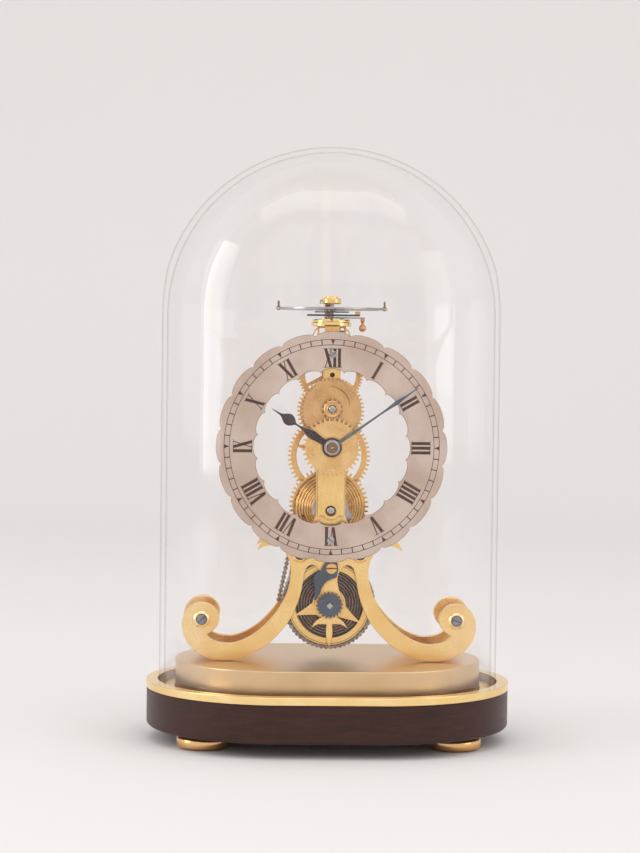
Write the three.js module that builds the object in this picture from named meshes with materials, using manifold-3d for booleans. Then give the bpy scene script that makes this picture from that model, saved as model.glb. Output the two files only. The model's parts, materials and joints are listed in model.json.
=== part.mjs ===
// Skeleton clock: a fusee timepiece with a horizontal balance, on an oval base under a glass dome.
// Millimetres, +Z up, the dial faces -Y. The origin is the middle of the base, at the bottom of its feet.
import * as THREE from 'three';
import { mergeVertices } from 'three/addons/utils/BufferGeometryUtils.js';
import Module from 'manifold-3d';

const wasm = await Module();
wasm.setup();

// ---------- driving dimensions ----------

const REST = 0.06;                 // gap between static pieces that rest on each other
const BORE = 0.3;                  // gap between a shaft and what turns on it

const FOOT = { radius: 11.4, height: 6.1, x: 54, y: 28 };
const PLINTH = { length: 159, depth: 118, bottom: FOOT.height + REST, top: 22.6 };
const RIM = { width: 5.2, height: 3.4 };
const PLATFORM = { length: 133.6, depth: 93, top: 35.3, roundOver: 1.4 };
const DOME = { length: 148, depth: 107, wall: 2.2, shoulder: 185, top: 258.7, lift: 0.27 };

const PLATE = { thick: 3, frontFace: -15.5, backFace: 16.5 };
const FRONT_REAR = PLATE.frontFace + PLATE.thick;      // inner face of the front plate
const BACK_FRONT = PLATE.backFace - PLATE.thick;       // inner face of the back plate
const SCROLL = { x: 55.3, z: 53.4 };
const WAIST = { x: 13, z: 85 };
const TOP_EAR = { x: 9.2, z: 172.9 };

// heights of the arbors, all on the middle line
const BARREL_Z = 60;
const FUSEE_Z = 101.2;
const SECOND_Z = 123.4;
const HANDS_Z = 128.6;
const THIRD_Z = 143.6;
const MINUTE_Z = 145;
const CONTRATE_Z = 159.6;
const BALANCE_Z = 188.3;
const ESCAPE_Y = 6;                // the escape arbor stands behind the balance staff
const PALLET = { x: 3.8, y: 3.4 };

const DIAL = { z: HANDS_Z, front: -21.4, thick: 1.2, lobes: 20, outer: 47.9, inner: 32.3, screwRadius: 40 };
const LOBE_RISE = { outer: 1.7, inner: 1.6 };

// tooth counts: hands arbor and second arbor turn once an hour
const TEETH = {
  great: 52, secondPinion: 16, second: 56, thirdPinion: 8, third: 48, contratePinion: 6,
  contrate: 60, escapePinion: 7, escape: 15, transfer: 12,
  cannon: 12, minute: 48, minutePinion: 12, hour: 36, ratchet: 20,
};
const moduleFor = (distance, a, b) => (2 * distance) / (a + b);
const GREAT_MODULE = moduleFor(SECOND_Z - FUSEE_Z, TEETH.great, TEETH.secondPinion);
const SECOND_MODULE = moduleFor(THIRD_Z - SECOND_Z, TEETH.second, TEETH.thirdPinion);
const THIRD_MODULE = moduleFor(CONTRATE_Z - THIRD_Z, TEETH.third, TEETH.contratePinion);
const TRANSFER_MODULE = moduleFor(HANDS_Z - SECOND_Z, TEETH.transfer, TEETH.transfer);
const MINUTE_MODULE = moduleFor(MINUTE_Z - HANDS_Z, TEETH.cannon, TEETH.minute);
const HOUR_MODULE = moduleFor(MINUTE_Z - HANDS_Z, TEETH.minutePinion, TEETH.hour);

const TAU = Math.PI * 2;
const radians = (degrees) => (degrees * TAU) / 360;

// angles of the hands at rest, clockwise from twelve: nine minutes past ten
const MINUTE_HAND_ANGLE = radians(54.7);
const HOUR_HAND_ANGLE = radians(302.4);

// ---------- materials ----------

const finish = (color, roughness, metalness = 1) =>
  new THREE.MeshStandardMaterial({ color, roughness, metalness });
const GILT = finish(0xe8bb62, 0.3);
const SATIN_BRASS = finish(0xd8bd92, 0.4);
const BRIGHT_BRASS = finish(0xe3bd6a, 0.22);
const SHADE_BRASS = finish(0xc08c45, 0.35);
const SILVERED = finish(0xcdbdb5, 0.45, 0.6);
const STEEL = finish(0xb9b6b6, 0.22);
const BLUED = finish(0x4b5568, 0.3);
const DARK_BLUED = finish(0x3a3034, 0.35);
const SPRING_STEEL = finish(0x4a342b, 0.35);
const COPPER = finish(0xb87245, 0.3);
const MAHOGANY = finish(0x33150f, 0.45, 0);
const GLASS = new THREE.MeshStandardMaterial({
  color: 0xf4f6f7, roughness: 0.05, metalness: 0, transparent: true, opacity: 0.25,
});

const clock = new THREE.Group();
clock.name = 'skeleton_clock';

// ---------- shape helpers ----------

function add(name, geometry, material, x = 0, y = 0, z = 0) {
  const mesh = new THREE.Mesh(geometry, material);
  mesh.name = name;
  mesh.position.set(x, y, z);
  clock.add(mesh);
  return mesh;
}

// A flat piece cut from a sheet that stands upright: the outline is drawn in x and z.
function sheet(shape, front, back) {
  const geometry = new THREE.ExtrudeGeometry(shape, { depth: back - front, bevelEnabled: false });
  geometry.rotateX(Math.PI / 2);
  return geometry.translate(0, back, 0);
}

// A flat piece that lies level: the outline is drawn in x and y.
function slab(shape, bottom, top) {
  const geometry = new THREE.ExtrudeGeometry(shape, { depth: top - bottom, bevelEnabled: false });
  return geometry.translate(0, 0, bottom);
}

// Turned round the Y axis. The profile is [radius, y] from the front end to the back end.
function turnedY(profile, segments = 20) {
  return new THREE.LatheGeometry(profile.map(([r, h]) => new THREE.Vector2(r, h)), segments);
}

// Turned round the Z axis. The profile is [radius, z] from the bottom to the top.
function turnedZ(profile, segments = 20) {
  return turnedY(profile, segments).rotateX(Math.PI / 2);
}

// A ring turned round an axis: a closed rectangular profile.
const ringProfile = (inner, outer, from, to) =>
  [[inner, from], [outer, from], [outer, to], [inner, to], [inner, from]];

const discProfile = (radius, from, to) => [[0, from], [radius, from], [radius, to], [0, to]];

function boxOf(x0, x1, y0, y1, z0, z1) {
  const geometry = new THREE.BoxGeometry(x1 - x0, y1 - y0, z1 - z0);
  return geometry.translate((x0 + x1) / 2, (y0 + y1) / 2, (z0 + z1) / 2);
}

// Points along an arc, both ends included.
function arcPoints(radius, from, to, steps, x = 0, z = 0) {
  const points = [];
  for (let step = 0; step <= steps; step += 1) {
    const angle = from + ((to - from) * step) / steps;
    points.push(new THREE.Vector2(x + radius * Math.cos(angle), z + radius * Math.sin(angle)));
  }
  return points;
}

const roundHole = (radius, x = 0, z = 0, steps = 12) =>
  new THREE.Path(arcPoints(radius, TAU, TAU / steps, steps - 1, x, z));
const disc = (radius, steps, x = 0, z = 0) =>
  new THREE.Shape(arcPoints(radius, 0, TAU - TAU / steps, steps - 1, x, z));

// ---------- cutting and joining ----------

function toSolid(geometry) {
  const bare = geometry.clone();
  bare.deleteAttribute('normal');
  bare.deleteAttribute('uv');
  const merged = mergeVertices(bare, 1e-5);
  const corners = merged.index.array;
  const kept = [];
  for (let i = 0; i < corners.length; i += 3) {
    const [a, b, c] = [corners[i], corners[i + 1], corners[i + 2]];
    if (a !== b && b !== c && c !== a) kept.push(a, b, c);
  }
  return new wasm.Manifold(new wasm.Mesh({
    numProp: 3,
    vertProperties: new Float32Array(merged.attributes.position.array),
    triVerts: new Uint32Array(kept),
  }));
}

function toGeometry(solid) {
  const mesh = solid.getMesh();
  const geometry = new THREE.BufferGeometry();
  geometry.setAttribute('position', new THREE.BufferAttribute(new Float32Array(mesh.vertProperties), 3));
  geometry.setIndex(new THREE.BufferAttribute(new Uint32Array(mesh.triVerts), 1));
  geometry.computeVertexNormals();
  return geometry;
}

const join = (...parts) => toGeometry(parts.map(toSolid).reduce((whole, part) => whole.add(part)));
const cut = (body, ...tools) =>
  toGeometry(tools.map(toSolid).reduce((rest, tool) => rest.subtract(tool), toSolid(body)));

// ---------- gears ----------

// Outline of a toothed wheel. Thin tapering teeth leave backlash; tooth 0 points at `phase`.
// A taper of 0 brings each tooth to a point.
function gearShape(teeth, module, { tip = 0.9, root = 1.15, thick = 0.4, taper = 0.5, phase = 0 } = {}) {
  const pitchRadius = (teeth * module) / 2;
  const tipRadius = pitchRadius + tip * module;
  const rootRadius = pitchRadius - root * module;
  const half = (thick * Math.PI) / teeth;
  const corners = [];
  for (let i = 0; i < teeth; i += 1) {
    const middle = phase + (i * TAU) / teeth;
    const ends = taper > 0 ? [[tipRadius, -taper], [tipRadius, taper]] : [[tipRadius, 0]];
    const flank = [[rootRadius, -1.25], ...ends, [rootRadius, 1.25]];
    for (const [radius, side] of flank) {
      const angle = middle + side * half;
      corners.push(new THREE.Vector2(radius * Math.cos(angle), radius * Math.sin(angle)));
    }
  }
  return new THREE.Shape(corners);
}

// Windows between the arms of a crossed-out wheel. The first arm points at `phase`.
function crossings(shape, { inner, outer, arms, armHub, armRim, phase }) {
  for (let i = 0; i < arms; i += 1) {
    const from = phase + (i * TAU) / arms;
    const to = from + TAU / arms;
    const rimSlack = armRim / outer;
    const hubSlack = armHub / inner;
    shape.holes.push(new THREE.Path([
      ...arcPoints(inner, from + hubSlack, to - hubSlack, 3),
      ...arcPoints(outer, to - rimSlack, from + rimSlack, 9),
    ]));
  }
  return shape;
}

// Angle at which a follower's tooth must point for its gap to face the driver's tooth.
function meshPhase(driverPhase, driverTeeth, followerTeeth, direction) {
  const turned = (driverPhase - direction) * driverTeeth / followerTeeth;
  return direction + Math.PI - turned + Math.PI / followerTeeth;
}

// ---------- base and dome ----------

// Turned round Z, then parted at x = 0 and drawn out sideways, which turns each circle into an oval
// with straight long sides. `share` says how much of the straight length a given radius takes.
function oval(profile, straight, share = () => 1, segments = 36) {
  const geometry = turnedZ(profile, segments);
  const positions = geometry.attributes.position;
  for (let i = 0; i < positions.count; i += 1) {
    const x = positions.getX(i);
    const radius = Math.hypot(x, positions.getY(i));
    const shift = Math.abs(x) < 1e-6 ? 0 : Math.sign(x) * straight * share(radius);
    positions.setX(i, x + shift);
  }
  return geometry;
}

function addBase() {
  const footProfile = [[0, 0], [10.2, 0], [FOOT.radius, 1.4], [FOOT.radius, FOOT.height], [0, FOOT.height]];
  for (const [side, x] of [['left', -FOOT.x], ['right', FOOT.x]]) {
    add(`foot_front_${side}`, turnedZ(footProfile, 16), BRIGHT_BRASS, x, -FOOT.y);
    add(`foot_rear_${side}`, turnedZ(footProfile, 16), BRIGHT_BRASS, x, FOOT.y);
  }

  const end = PLINTH.depth / 2;
  const straight = (PLINTH.length - PLINTH.depth) / 2;
  const plinth = [[0, PLINTH.bottom], [end - 1, PLINTH.bottom], [end - 0.2, PLINTH.bottom + 0.8],
    [end - 0.2, PLINTH.top], [0, PLINTH.top]];
  add('plinth', oval(plinth, straight), MAHOGANY);

  const bottom = PLINTH.top + REST;
  const top = PLINTH.top + RIM.height;
  const inner = end - RIM.width;
  const rim = [[inner, bottom], [end, bottom], [end, top - 0.6], [end - 0.6, top],
    [inner + 0.3, top], [inner, top - 0.3], [inner, bottom]];
  add('plinth_rim', oval(rim, straight), BRIGHT_BRASS);

  const radius = PLATFORM.depth / 2;
  const round = PLATFORM.roundOver;
  const shelf = PLATFORM.top;
  const platform = [[0, bottom], [radius, bottom], [radius, shelf - round],
    [radius - 0.3 * round, shelf - 0.3 * round], [radius - round, shelf], [0, shelf]];
  add('brass_platform', oval(platform, (PLATFORM.length - PLATFORM.depth) / 2), SATIN_BRASS);
}

function domeSurface(inset) {
  const radius = DOME.depth / 2 - inset;
  const rise = DOME.top - inset - DOME.shoulder;
  const steps = 7;
  const profile = [[radius, PLINTH.top + 0.3]];
  for (let i = 0; i <= steps; i += 1) {
    const angle = (i * Math.PI) / (2 * steps);
    const across = i === steps ? 0 : radius * Math.cos(angle);
    profile.push([across, DOME.shoulder + rise * Math.sin(angle)]);
  }
  return profile;
}

function addDome() {
  const radius = DOME.depth / 2;
  const profile = [...domeSurface(DOME.wall).reverse(), ...domeSurface(0)];
  const straight = (DOME.length - DOME.depth) / 2;
  add('glass_dome', oval(profile, straight, (r) => Math.min(1, r / (radius - DOME.wall)), 32), GLASS);
}

// ---------- frame ----------

const point = ([x, z]) => new THREE.Vector2(x, z);
const curveThrough = (points, perSpan = 2) =>
  new THREE.SplineCurve(points.map(point)).getPoints((points.length - 1) * perSpan);

function mirrored(half) {
  const left = half.filter((p) => p.x > 1e-6).map((p) => new THREE.Vector2(-p.x, p.y)).reverse();
  return new THREE.Shape([...half, ...left]);
}

// Both plates: scrolled legs, a waist with two horns, a tongue that ends in a fleur-de-lis below the
// barrel bearing, and a narrow spine that rises to two ears under the escapement platform.
function plateShape() {
  const spear = curveThrough([[0, 41.6], [1, 44.4], [1.5, 48.2], [1.2, 51.4]], 1);
  const leafUnder = curveThrough([[1.2, 51.4], [4.6, 51.5], [7.9, 49.9]], 1).slice(1);
  const leafOver = curveThrough([[7.9, 49.9], [6.1, 52.7], [3.3, 54.6]], 1).slice(1);
  const boss = arcPoints(6.35, radians(-42), radians(20), 4, 0, BARREL_Z);
  const bay = curveThrough([[5.6, 63.2], [4.2, 66.3], [3.4, 70], [3.8, 73.4], [5.5, 76.3], [7.5, 77.3],
    [9.6, 76.5], [10.9, 74], [11.6, 69.6], [12.7, 64], [14.8, 58.1]], 1);
  const legUnder = curveThrough([[14.8, 58.1], [18.1, 51.9], [22.4, 46.6], [27.1, 42.3],
    [32.8, 38.8], [38.9, 36.3], [45.2, 35.36], [51.3, 36.2], [56.3, 38.4], [60.2, 41.6],
    [62.9, 46], [63.8, 51.3]], 1).slice(1);
  const scroll = curveThrough([[63.8, 51.3], [62.5, 56.3], [59.3, 59.6], [54.7, 60.7],
    [50.2, 58.9], [47.6, 54.6], [48.9, 49.9], [53, 46.6]], 1).slice(1);
  const legOver = curveThrough([[53, 46.6], [51, 44.6], [47, 43.3], [42, 43.1], [36.8, 44.7],
    [31.6, 47.8], [27.1, 51.8], [23, 56.7], [20.3, 61.3], [18.4, 65.7], [17.2, 70.3],
    [16.8, 73.8], [17.1, 77.2], [18.1, 80.4], [19.6, 83.4]], 1).slice(1);
  const hornUnder = curveThrough([[20.4, 84.8], [24, 85.7], [28, 85.3], [31.6, 83.5]], 1);
  const hornOver = curveThrough([[31.6, 83.5], [29.4, 87.2], [25.6, 89.6], [20.5, 91]], 1).slice(1);
  const spine = [[12, 92.6], [7.6, 95.4], [6.3, 99], [6.3, 150], [3.7, 154], [3.7, 169],
    [5.4, 170.6]].map(point);
  const ear = arcPoints(2.3, radians(-90), radians(90), 5, TOP_EAR.x, TOP_EAR.z);
  const crest = new THREE.Vector2(0, TOP_EAR.z + 2.3);
  return mirrored([...spear, ...leafUnder, ...leafOver, ...boss, ...bay, ...legUnder, ...scroll,
    ...legOver, ...hornUnder, ...hornOver, ...spine, ...ear, crest]);
}

const PIVOT = 0.5;                 // radius of the train's pivots
const ARBOR = 0.9;                 // radius of the train's arbors
const BARREL_ARBOR = 1.6;

function addPlates() {
  const pivots = [[SECOND_Z, PIVOT], [THIRD_Z, PIVOT], [CONTRATE_Z, PIVOT]];
  const front = plateShape();
  const back = plateShape();
  for (const [z, radius] of [...pivots, [FUSEE_Z, PIVOT], [BARREL_Z, BARREL_ARBOR], [HANDS_Z, 0.8]]) {
    front.holes.push(roundHole(radius + BORE, 0, z));
  }
  for (const [z, radius] of [...pivots, [FUSEE_Z, 1.3], [BARREL_Z, 1]]) {
    back.holes.push(roundHole(radius + BORE, 0, z));
  }
  add('front_plate', sheet(front, PLATE.frontFace, FRONT_REAR), GILT);
  add('back_plate', sheet(back, BACK_FRONT, PLATE.backFace), SHADE_BRASS);
}

// A slotted screw head with its front face at y = -height and its seat at y = 0.
function slottedHead(radius, height, slotWidth, slotAngle, segments = 14) {
  const dome = [[0, -height], [radius * 0.8, -height], [radius, -height * 0.55], [radius, 0], [0, 0]];
  const slot = boxOf(-radius * 1.2, radius * 1.2, -height - 1, -height * 0.5, -slotWidth / 2, slotWidth / 2);
  slot.rotateY(slotAngle);
  return cut(turnedY(dome, segments), slot);
}

// A pillar between the plates: `end` and `middle` are its radii.
function turnedPillar(end, middle, segments) {
  const from = FRONT_REAR + REST;
  const to = BACK_FRONT - REST;
  return turnedY([[0, from], [end, from], [end, from + 2], [middle, from + 4],
    [middle, to - 4], [end, to - 2], [end, to], [0, to]], segments);
}

function addPillars() {
  for (const [side, sign] of [['left', -1], ['right', 1]]) {
    const pillars = [
      ['scroll', SCROLL, turnedPillar(4.2, 2.6, 14)],
      ['waist', WAIST, turnedPillar(3.2, 2, 12)],
      ['top', TOP_EAR, turnedPillar(1.6, 1.1, 10)],
    ];
    for (const [place, at, pillar] of pillars) {
      add(`${place}_pillar_${side}`, pillar, SHADE_BRASS, sign * at.x, 0, at.z);
    }
    const washer = turnedY([[0, -0.75], [3.2, -0.75], [3.6, -0.35], [3.6, 0], [0, 0]], 16);
    const head = slottedHead(2.1, 0.7, 0.5, radians(sign < 0 ? 45 : -20)).translate(0, -0.7, 0);
    add(`scroll_screw_${side}`, join(washer, head), BLUED,
      sign * SCROLL.x, PLATE.frontFace - REST, SCROLL.z);
  }
}

// ---------- dial ----------

function lobedRing(radius, rise, stepsPerLobe, inward) {
  const points = [];
  const half = Math.PI / DIAL.lobes;
  for (let lobe = 0; lobe < DIAL.lobes; lobe += 1) {
    for (let step = 0; step < stepsPerLobe; step += 1) {
      const along = (step / stepsPerLobe) * 2 - 1;
      const angle = Math.PI / 2 + lobe * 2 * half + along * half;
      const swell = radius + rise * Math.sqrt(Math.max(0, 1 - along * along));
      points.push(new THREE.Vector2(swell * Math.cos(angle), swell * Math.sin(angle)));
    }
  }
  return inward ? points.reverse() : points;
}

function addDial() {
  const shape = new THREE.Shape(lobedRing(DIAL.outer, LOBE_RISE.outer, 5, false));
  shape.holes.push(new THREE.Path(lobedRing(DIAL.inner, LOBE_RISE.inner, 4, true)));
  const screw = 0.8;
  for (const side of [1, -1]) shape.holes.push(roundHole(screw + BORE, 0, side * DIAL.screwRadius));
  add('dial_ring', sheet(shape, DIAL.front, DIAL.front + DIAL.thick), SILVERED, 0, 0, DIAL.z);

  const toPlate = PLATE.frontFace - REST - DIAL.front;
  for (const [place, side, turn] of [['top', 1, -30], ['bottom', -1, 35]]) {
    const shank = turnedY(discProfile(screw, -0.1, DIAL.thick + 0.3), 12);
    const pillar = turnedY(discProfile(1.9, DIAL.thick + REST, toPlate), 14);
    const head = slottedHead(1.65, 0.6, 0.45, radians(turn)).translate(0, -REST, 0);
    add(`dial_screw_${place}`, join(head, shank, pillar), STEEL,
      0, DIAL.front, DIAL.z + side * DIAL.screwRadius);
  }
}

// ---------- motion work and hands ----------

const BAR = { front: -18.2, back: -15.7, half: 5.6, top: 166 };
const MINUTE_WHEEL = { front: -19.7, back: -18.7 };
const HOUR_WHEEL = { front: -21.9, back: -20.8 };
const CANNON_PIPE = 1.5;           // radius of the pipe that the hour wheel turns on
const HANDS_ARBOR = 0.8;
const HAND_GRIP = HANDS_ARBOR + 0.1;                   // bore of what is pressed on the hands arbor
const STUD = 0.9;
const TRANSFER = { front: -11.9, back: -10.7 };

function addFrontBar() {
  const half = [...curveThrough([[0, 97.1], [1.9, 97.6], [3.2, 98.8], [4.4, 99], [BAR.half, 98.3]]),
    ...[[BAR.half, 148], [3.6, 152], [3.6, BAR.top], [0, BAR.top]].map(point)];
  const shape = mirrored(half);
  shape.holes.push(roundHole(HANDS_ARBOR + BORE, 0, HANDS_Z), roundHole(PIVOT * 2, 0, CONTRATE_Z));
  add('front_bar', sheet(shape, BAR.front, BAR.back), GILT);
}

const GEAR_UP = Math.PI / 2;       // direction of an arbor straight above another

function addMotionWork() {
  // hands arbor, turned by the transfer pinion behind the front plate
  const transferPhase = GEAR_UP;
  const handsPhase = meshPhase(transferPhase, TEETH.transfer, TEETH.transfer, GEAR_UP);
  const arbor = turnedY([[0, -26.9], [0.5, -26.9], [HANDS_ARBOR, -26.5], [HANDS_ARBOR, TRANSFER.back],
    [0, TRANSFER.back]], 12);
  const pinion = sheet(gearShape(TEETH.transfer, TRANSFER_MODULE, { tip: 0.8, phase: handsPhase }),
    TRANSFER.front, TRANSFER.back);
  add('hands_arbor', join(arbor, pinion), STEEL, 0, 0, HANDS_Z);

  const cannon = gearShape(TEETH.cannon, MINUTE_MODULE, { tip: 0.8, phase: 0 });
  cannon.holes.push(roundHole(HAND_GRIP));
  const pipe = turnedY(ringProfile(HAND_GRIP, CANNON_PIPE, -24.2, -20), 16);
  add('cannon_pinion', join(sheet(cannon, -20.2, -18.6), pipe), STEEL, 0, 0, HANDS_Z);

  const minutePhase = meshPhase(0, TEETH.cannon, TEETH.minute, GEAR_UP);
  const pinionPhase = 0;
  const minute = gearShape(TEETH.minute, MINUTE_MODULE, { taper: 0, phase: minutePhase });
  const leaves = gearShape(TEETH.minutePinion, HOUR_MODULE, { tip: 0.75, phase: pinionPhase });
  for (const shape of [minute, leaves]) shape.holes.push(roundHole(STUD + BORE));
  const collar = turnedY(ringProfile(STUD + BORE, 3.7, -22.8, -22.1), 20);
  add('minute_wheel', join(sheet(minute, MINUTE_WHEEL.front, MINUTE_WHEEL.back),
    sheet(leaves, -22.15, MINUTE_WHEEL.front + 0.1), collar), SATIN_BRASS, 0, 0, MINUTE_Z);

  const stud = turnedY([[0, -23.8], [1.1, -23.8], [1.6, -23.4], [1.6, -23.1], [STUD, -23.1],
    [STUD, BAR.front - REST], [0, BAR.front - REST]], 14);
  add('minute_wheel_stud', stud, STEEL, 0, 0, MINUTE_Z);

  const hourPhase = meshPhase(pinionPhase, TEETH.minutePinion, TEETH.hour, -GEAR_UP);
  const hour = gearShape(TEETH.hour, HOUR_MODULE, { tip: 0.8, root: 1.25, phase: hourPhase });
  hour.holes.push(roundHole(CANNON_PIPE + BORE));
  const hourPipe = turnedY(ringProfile(CANNON_PIPE + BORE, 2.6, -22.9, -21.8), 16);
  add('hour_wheel', join(sheet(hour, HOUR_WHEEL.front, HOUR_WHEEL.back), hourPipe), SATIN_BRASS,
    0, 0, HANDS_Z);
}

// A hand that points straight up: half widths at distances from its centre, with a round boss.
function handShape(boss, outline) {
  const rest = curveThrough(outline.map(([along, half]) => [half, along]), 2);
  const start = Math.atan2(rest[0].y, rest[0].x);
  const half = [];
  for (let step = 0; step < 7; step += 1) {
    const angle = -Math.PI / 2 + ((start + Math.PI / 2) * step) / 7;
    half.push(new THREE.Vector2(boss * Math.cos(angle), boss * Math.sin(angle)));
  }
  half[0].x = 0;
  return mirrored([...half, ...rest]);
}

function addHands() {
  const hour = handShape(4.2, [[4, 1.4], [7, 1.5], [10, 1.75], [13.5, 0.8], [18.6, 0.45],
    [20, 1.7], [22, 2.55], [24.2, 1.6], [26.5, 0.55], [30.6, 0.12]]);
  hour.holes.push(roundHole(CANNON_PIPE + BORE));
  const hourHand = sheet(hour, -23.7, -23).rotateY(HOUR_HAND_ANGLE);
  add('hour_hand', hourHand, DARK_BLUED, 0, 0, HANDS_Z);

  const minute = handShape(2.6, [[2.5, 0.75], [9, 1], [12, 1.15], [17, 0.55], [28, 0.4],
    [34.5, 0.85], [37, 0.7], [45, 0.1]]);
  minute.holes.push(roundHole(HAND_GRIP));
  const minuteHand = sheet(minute, -24.9, -24.3).rotateY(MINUTE_HAND_ANGLE);
  add('minute_hand', minuteHand, BLUED, 0, 0, HANDS_Z);

  const collet = [[HAND_GRIP, -25.9], [2.4, -26.2], [3.45, -25.6], [3.45, -25],
    [HAND_GRIP, -25], [HAND_GRIP, -25.9]];
  add('hand_collet', turnedY(collet, 20), STEEL, 0, 0, HANDS_Z);
}

// ---------- barrel, ratchet and click ----------

const RATCHET = { front: -17.4, back: -15.8, tip: 5.9, root: 4.95 };
const SQUARE = 2.2;                // side of the winding square on the barrel arbor
const CLICK_PIVOT = { x: 0.6, z: 76.1, radius: 1 };

function squarePath(side) {
  const reach = side / Math.SQRT2;
  return new THREE.Path([[0, reach], [reach, 0], [0, -reach], [-reach, 0]].map(point));
}

function addRatchet() {
  const corners = [];
  for (let i = 0; i < TEETH.ratchet; i += 1) {
    const tooth = (i * TAU) / TEETH.ratchet;
    for (const [radius, share] of [[RATCHET.root, 0], [RATCHET.tip, 0.1], [RATCHET.tip - 0.15, 0.25]]) {
      const angle = tooth + (share * TAU) / TEETH.ratchet;
      corners.push(new THREE.Vector2(radius * Math.cos(angle), radius * Math.sin(angle)));
    }
  }
  const shape = new THREE.Shape(corners);
  shape.holes.push(squarePath(SQUARE + 0.2));
  add('ratchet_wheel', sheet(shape, RATCHET.front, RATCHET.back), BLUED, 0, 0, BARREL_Z);
}

function addClick() {
  const outline = [[-1.5, 78.9], [-2.9, 77.2], [-4.1, 74.9], [-7.3, 72.1], [-6.4, 66.5],
    [-6.9, 62.2], [-5.9, 62], [-5.3, 63.6], [-4.1, 64.9], [-3.6, 67.2], [-2, 69.9],
    [0.9, 71.5], [3, 72], [3.5, 75.6], [3, 78.9]];
  const shape = new THREE.Shape(outline.map(point));
  shape.holes.push(roundHole(CLICK_PIVOT.radius + BORE, CLICK_PIVOT.x, CLICK_PIVOT.z));
  add('click', sheet(shape, RATCHET.front, RATCHET.back), BLUED);
  const shank = turnedY(discProfile(CLICK_PIVOT.radius, -0.2, 1.9), 12);
  const head = slottedHead(2.35, 0.9, 0.5, 0, 18);
  add('click_screw', join(head, shank), BRIGHT_BRASS,
    CLICK_PIVOT.x, RATCHET.front - 0.1 - REST, CLICK_PIVOT.z);
}

const DRUM = { radius: 18, wall: 0.9, front: -10.3, back: 8.8, floor: 1.2 };
const CHAIN_OUTER = DRUM.radius + 2.2;                 // over the chain wound on the drum
const PLATE_SHAFT = { front: -12.4, back: 13.1 };      // between the plates, clear of both

function addBarrel() {
  // the shaft, swollen into a hub for the mainspring, with a winding square at its front end
  const hub = { radius: 4.5, front: -9.8, back: 7 };
  const shaft = turnedY([[0, -15.7], [BARREL_ARBOR, -15.7], [BARREL_ARBOR, hub.front],
    [hub.radius, hub.front], [hub.radius, hub.back], [BARREL_ARBOR, hub.back],
    [BARREL_ARBOR, PLATE_SHAFT.back], [1, PLATE_SHAFT.back], [1, 15.5], [0, 15.5]], 16);
  const square = boxOf(-SQUARE / 2, SQUARE / 2, -19.6, -15.6, -SQUARE / 2, SQUARE / 2);
  add('barrel_arbor', join(shaft, square.rotateY(Math.PI / 4)), STEEL, 0, 0, BARREL_Z);

  const hole = BARREL_ARBOR + BORE;
  const inside = DRUM.radius - DRUM.wall;
  const floor = DRUM.back - DRUM.floor;
  const drum = [[hole, floor], [inside, floor], [inside, DRUM.front], [DRUM.radius, DRUM.front],
    [DRUM.radius, DRUM.back], [hole, DRUM.back], [hole, floor]];
  add('barrel_drum', turnedY(drum, 32), SHADE_BRASS, 0, 0, BARREL_Z);

  const cover = disc(DRUM.radius - 0.1, 32);
  crossings(cover,
    { inner: 6.8, outer: 14.9, arms: 3, armHub: 2.6, armRim: 0.4, phase: radians(-34) });
  cover.holes.push(roundHole(hole));
  add('barrel_cover', sheet(cover, DRUM.front - 1, DRUM.front - REST), GILT, 0, 0, BARREL_Z);

  const coil = ringProfile(hub.radius + 0.3, inside - 0.4, hub.front + 0.2, hub.back + 0.2);
  add('mainspring', turnedY(coil, 24), SPRING_STEEL, 0, 0, BARREL_Z);
  const wound = ringProfile(DRUM.radius + 0.1, CHAIN_OUTER, -9.4, 6.6);
  add('chain_on_barrel', turnedY(wound, 32), STEEL, 0, 0, BARREL_Z);
}

// ---------- fusee ----------

const FUSEE = { front: -8.8, back: 6.2, small: 7.6, large: 15.6, turns: 8, groove: 0.7 };
const GREAT_WHEEL = { front: 6.8, back: 8.6 };

function addFusee() {
  const bore = BARREL_ARBOR + BORE;
  const profile = [[bore, FUSEE.front], [FUSEE.small, FUSEE.front]];
  const length = FUSEE.back - FUSEE.front;
  for (let turn = 0; turn < FUSEE.turns; turn += 1) {
    for (const [share, depth] of [[0.5, FUSEE.groove], [1, 0]]) {
      const along = (turn + share) / FUSEE.turns;
      const radius = FUSEE.small + (FUSEE.large - FUSEE.small) * along ** 1.3 - depth;
      profile.push([radius, FUSEE.front + along * length]);
    }
  }
  profile.push([bore, FUSEE.back], [bore, FUSEE.front]);
  add('fusee_cone', turnedY(profile, 26), SHADE_BRASS, 0, 0, FUSEE_Z);

  const great = gearShape(TEETH.great, GREAT_MODULE, { taper: 0, phase: 0 });
  great.holes.push(roundHole(bore));
  add('great_wheel', sheet(great, GREAT_WHEEL.front, GREAT_WHEEL.back), SHADE_BRASS, 0, 0, FUSEE_Z);

  const shaft = turnedY([[0, -14.6], [PIVOT, -14.6], [PIVOT, PLATE_SHAFT.front],
    [BARREL_ARBOR, PLATE_SHAFT.front], [BARREL_ARBOR, PLATE_SHAFT.back],
    [1.3, PLATE_SHAFT.back], [1.3, 17], [0, 17]], 16);
  const square = boxOf(-0.95, 0.95, 16.5, 22, -0.95, 0.95);
  add('fusee_arbor', join(shaft, square), STEEL, 0, 0, FUSEE_Z);

  // the bare chain between the two: it leaves the side of the drum and leans in to the cone
  const middle = 0.5;
  const low = new THREE.Vector3(-CHAIN_OUTER - 1.2, middle, BARREL_Z + 0.5);
  const high = new THREE.Vector3(-FUSEE.small - 5.4, middle, FUSEE_Z - 1.2);
  const run = new THREE.BoxGeometry(0.9, 1.6, high.distanceTo(low));
  run.rotateY(Math.atan2(high.x - low.x, high.z - low.z));
  add('chain_run', run, STEEL, (low.x + high.x) / 2, low.y, (low.z + high.z) / 2);
}

// ---------- going train ----------

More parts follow.
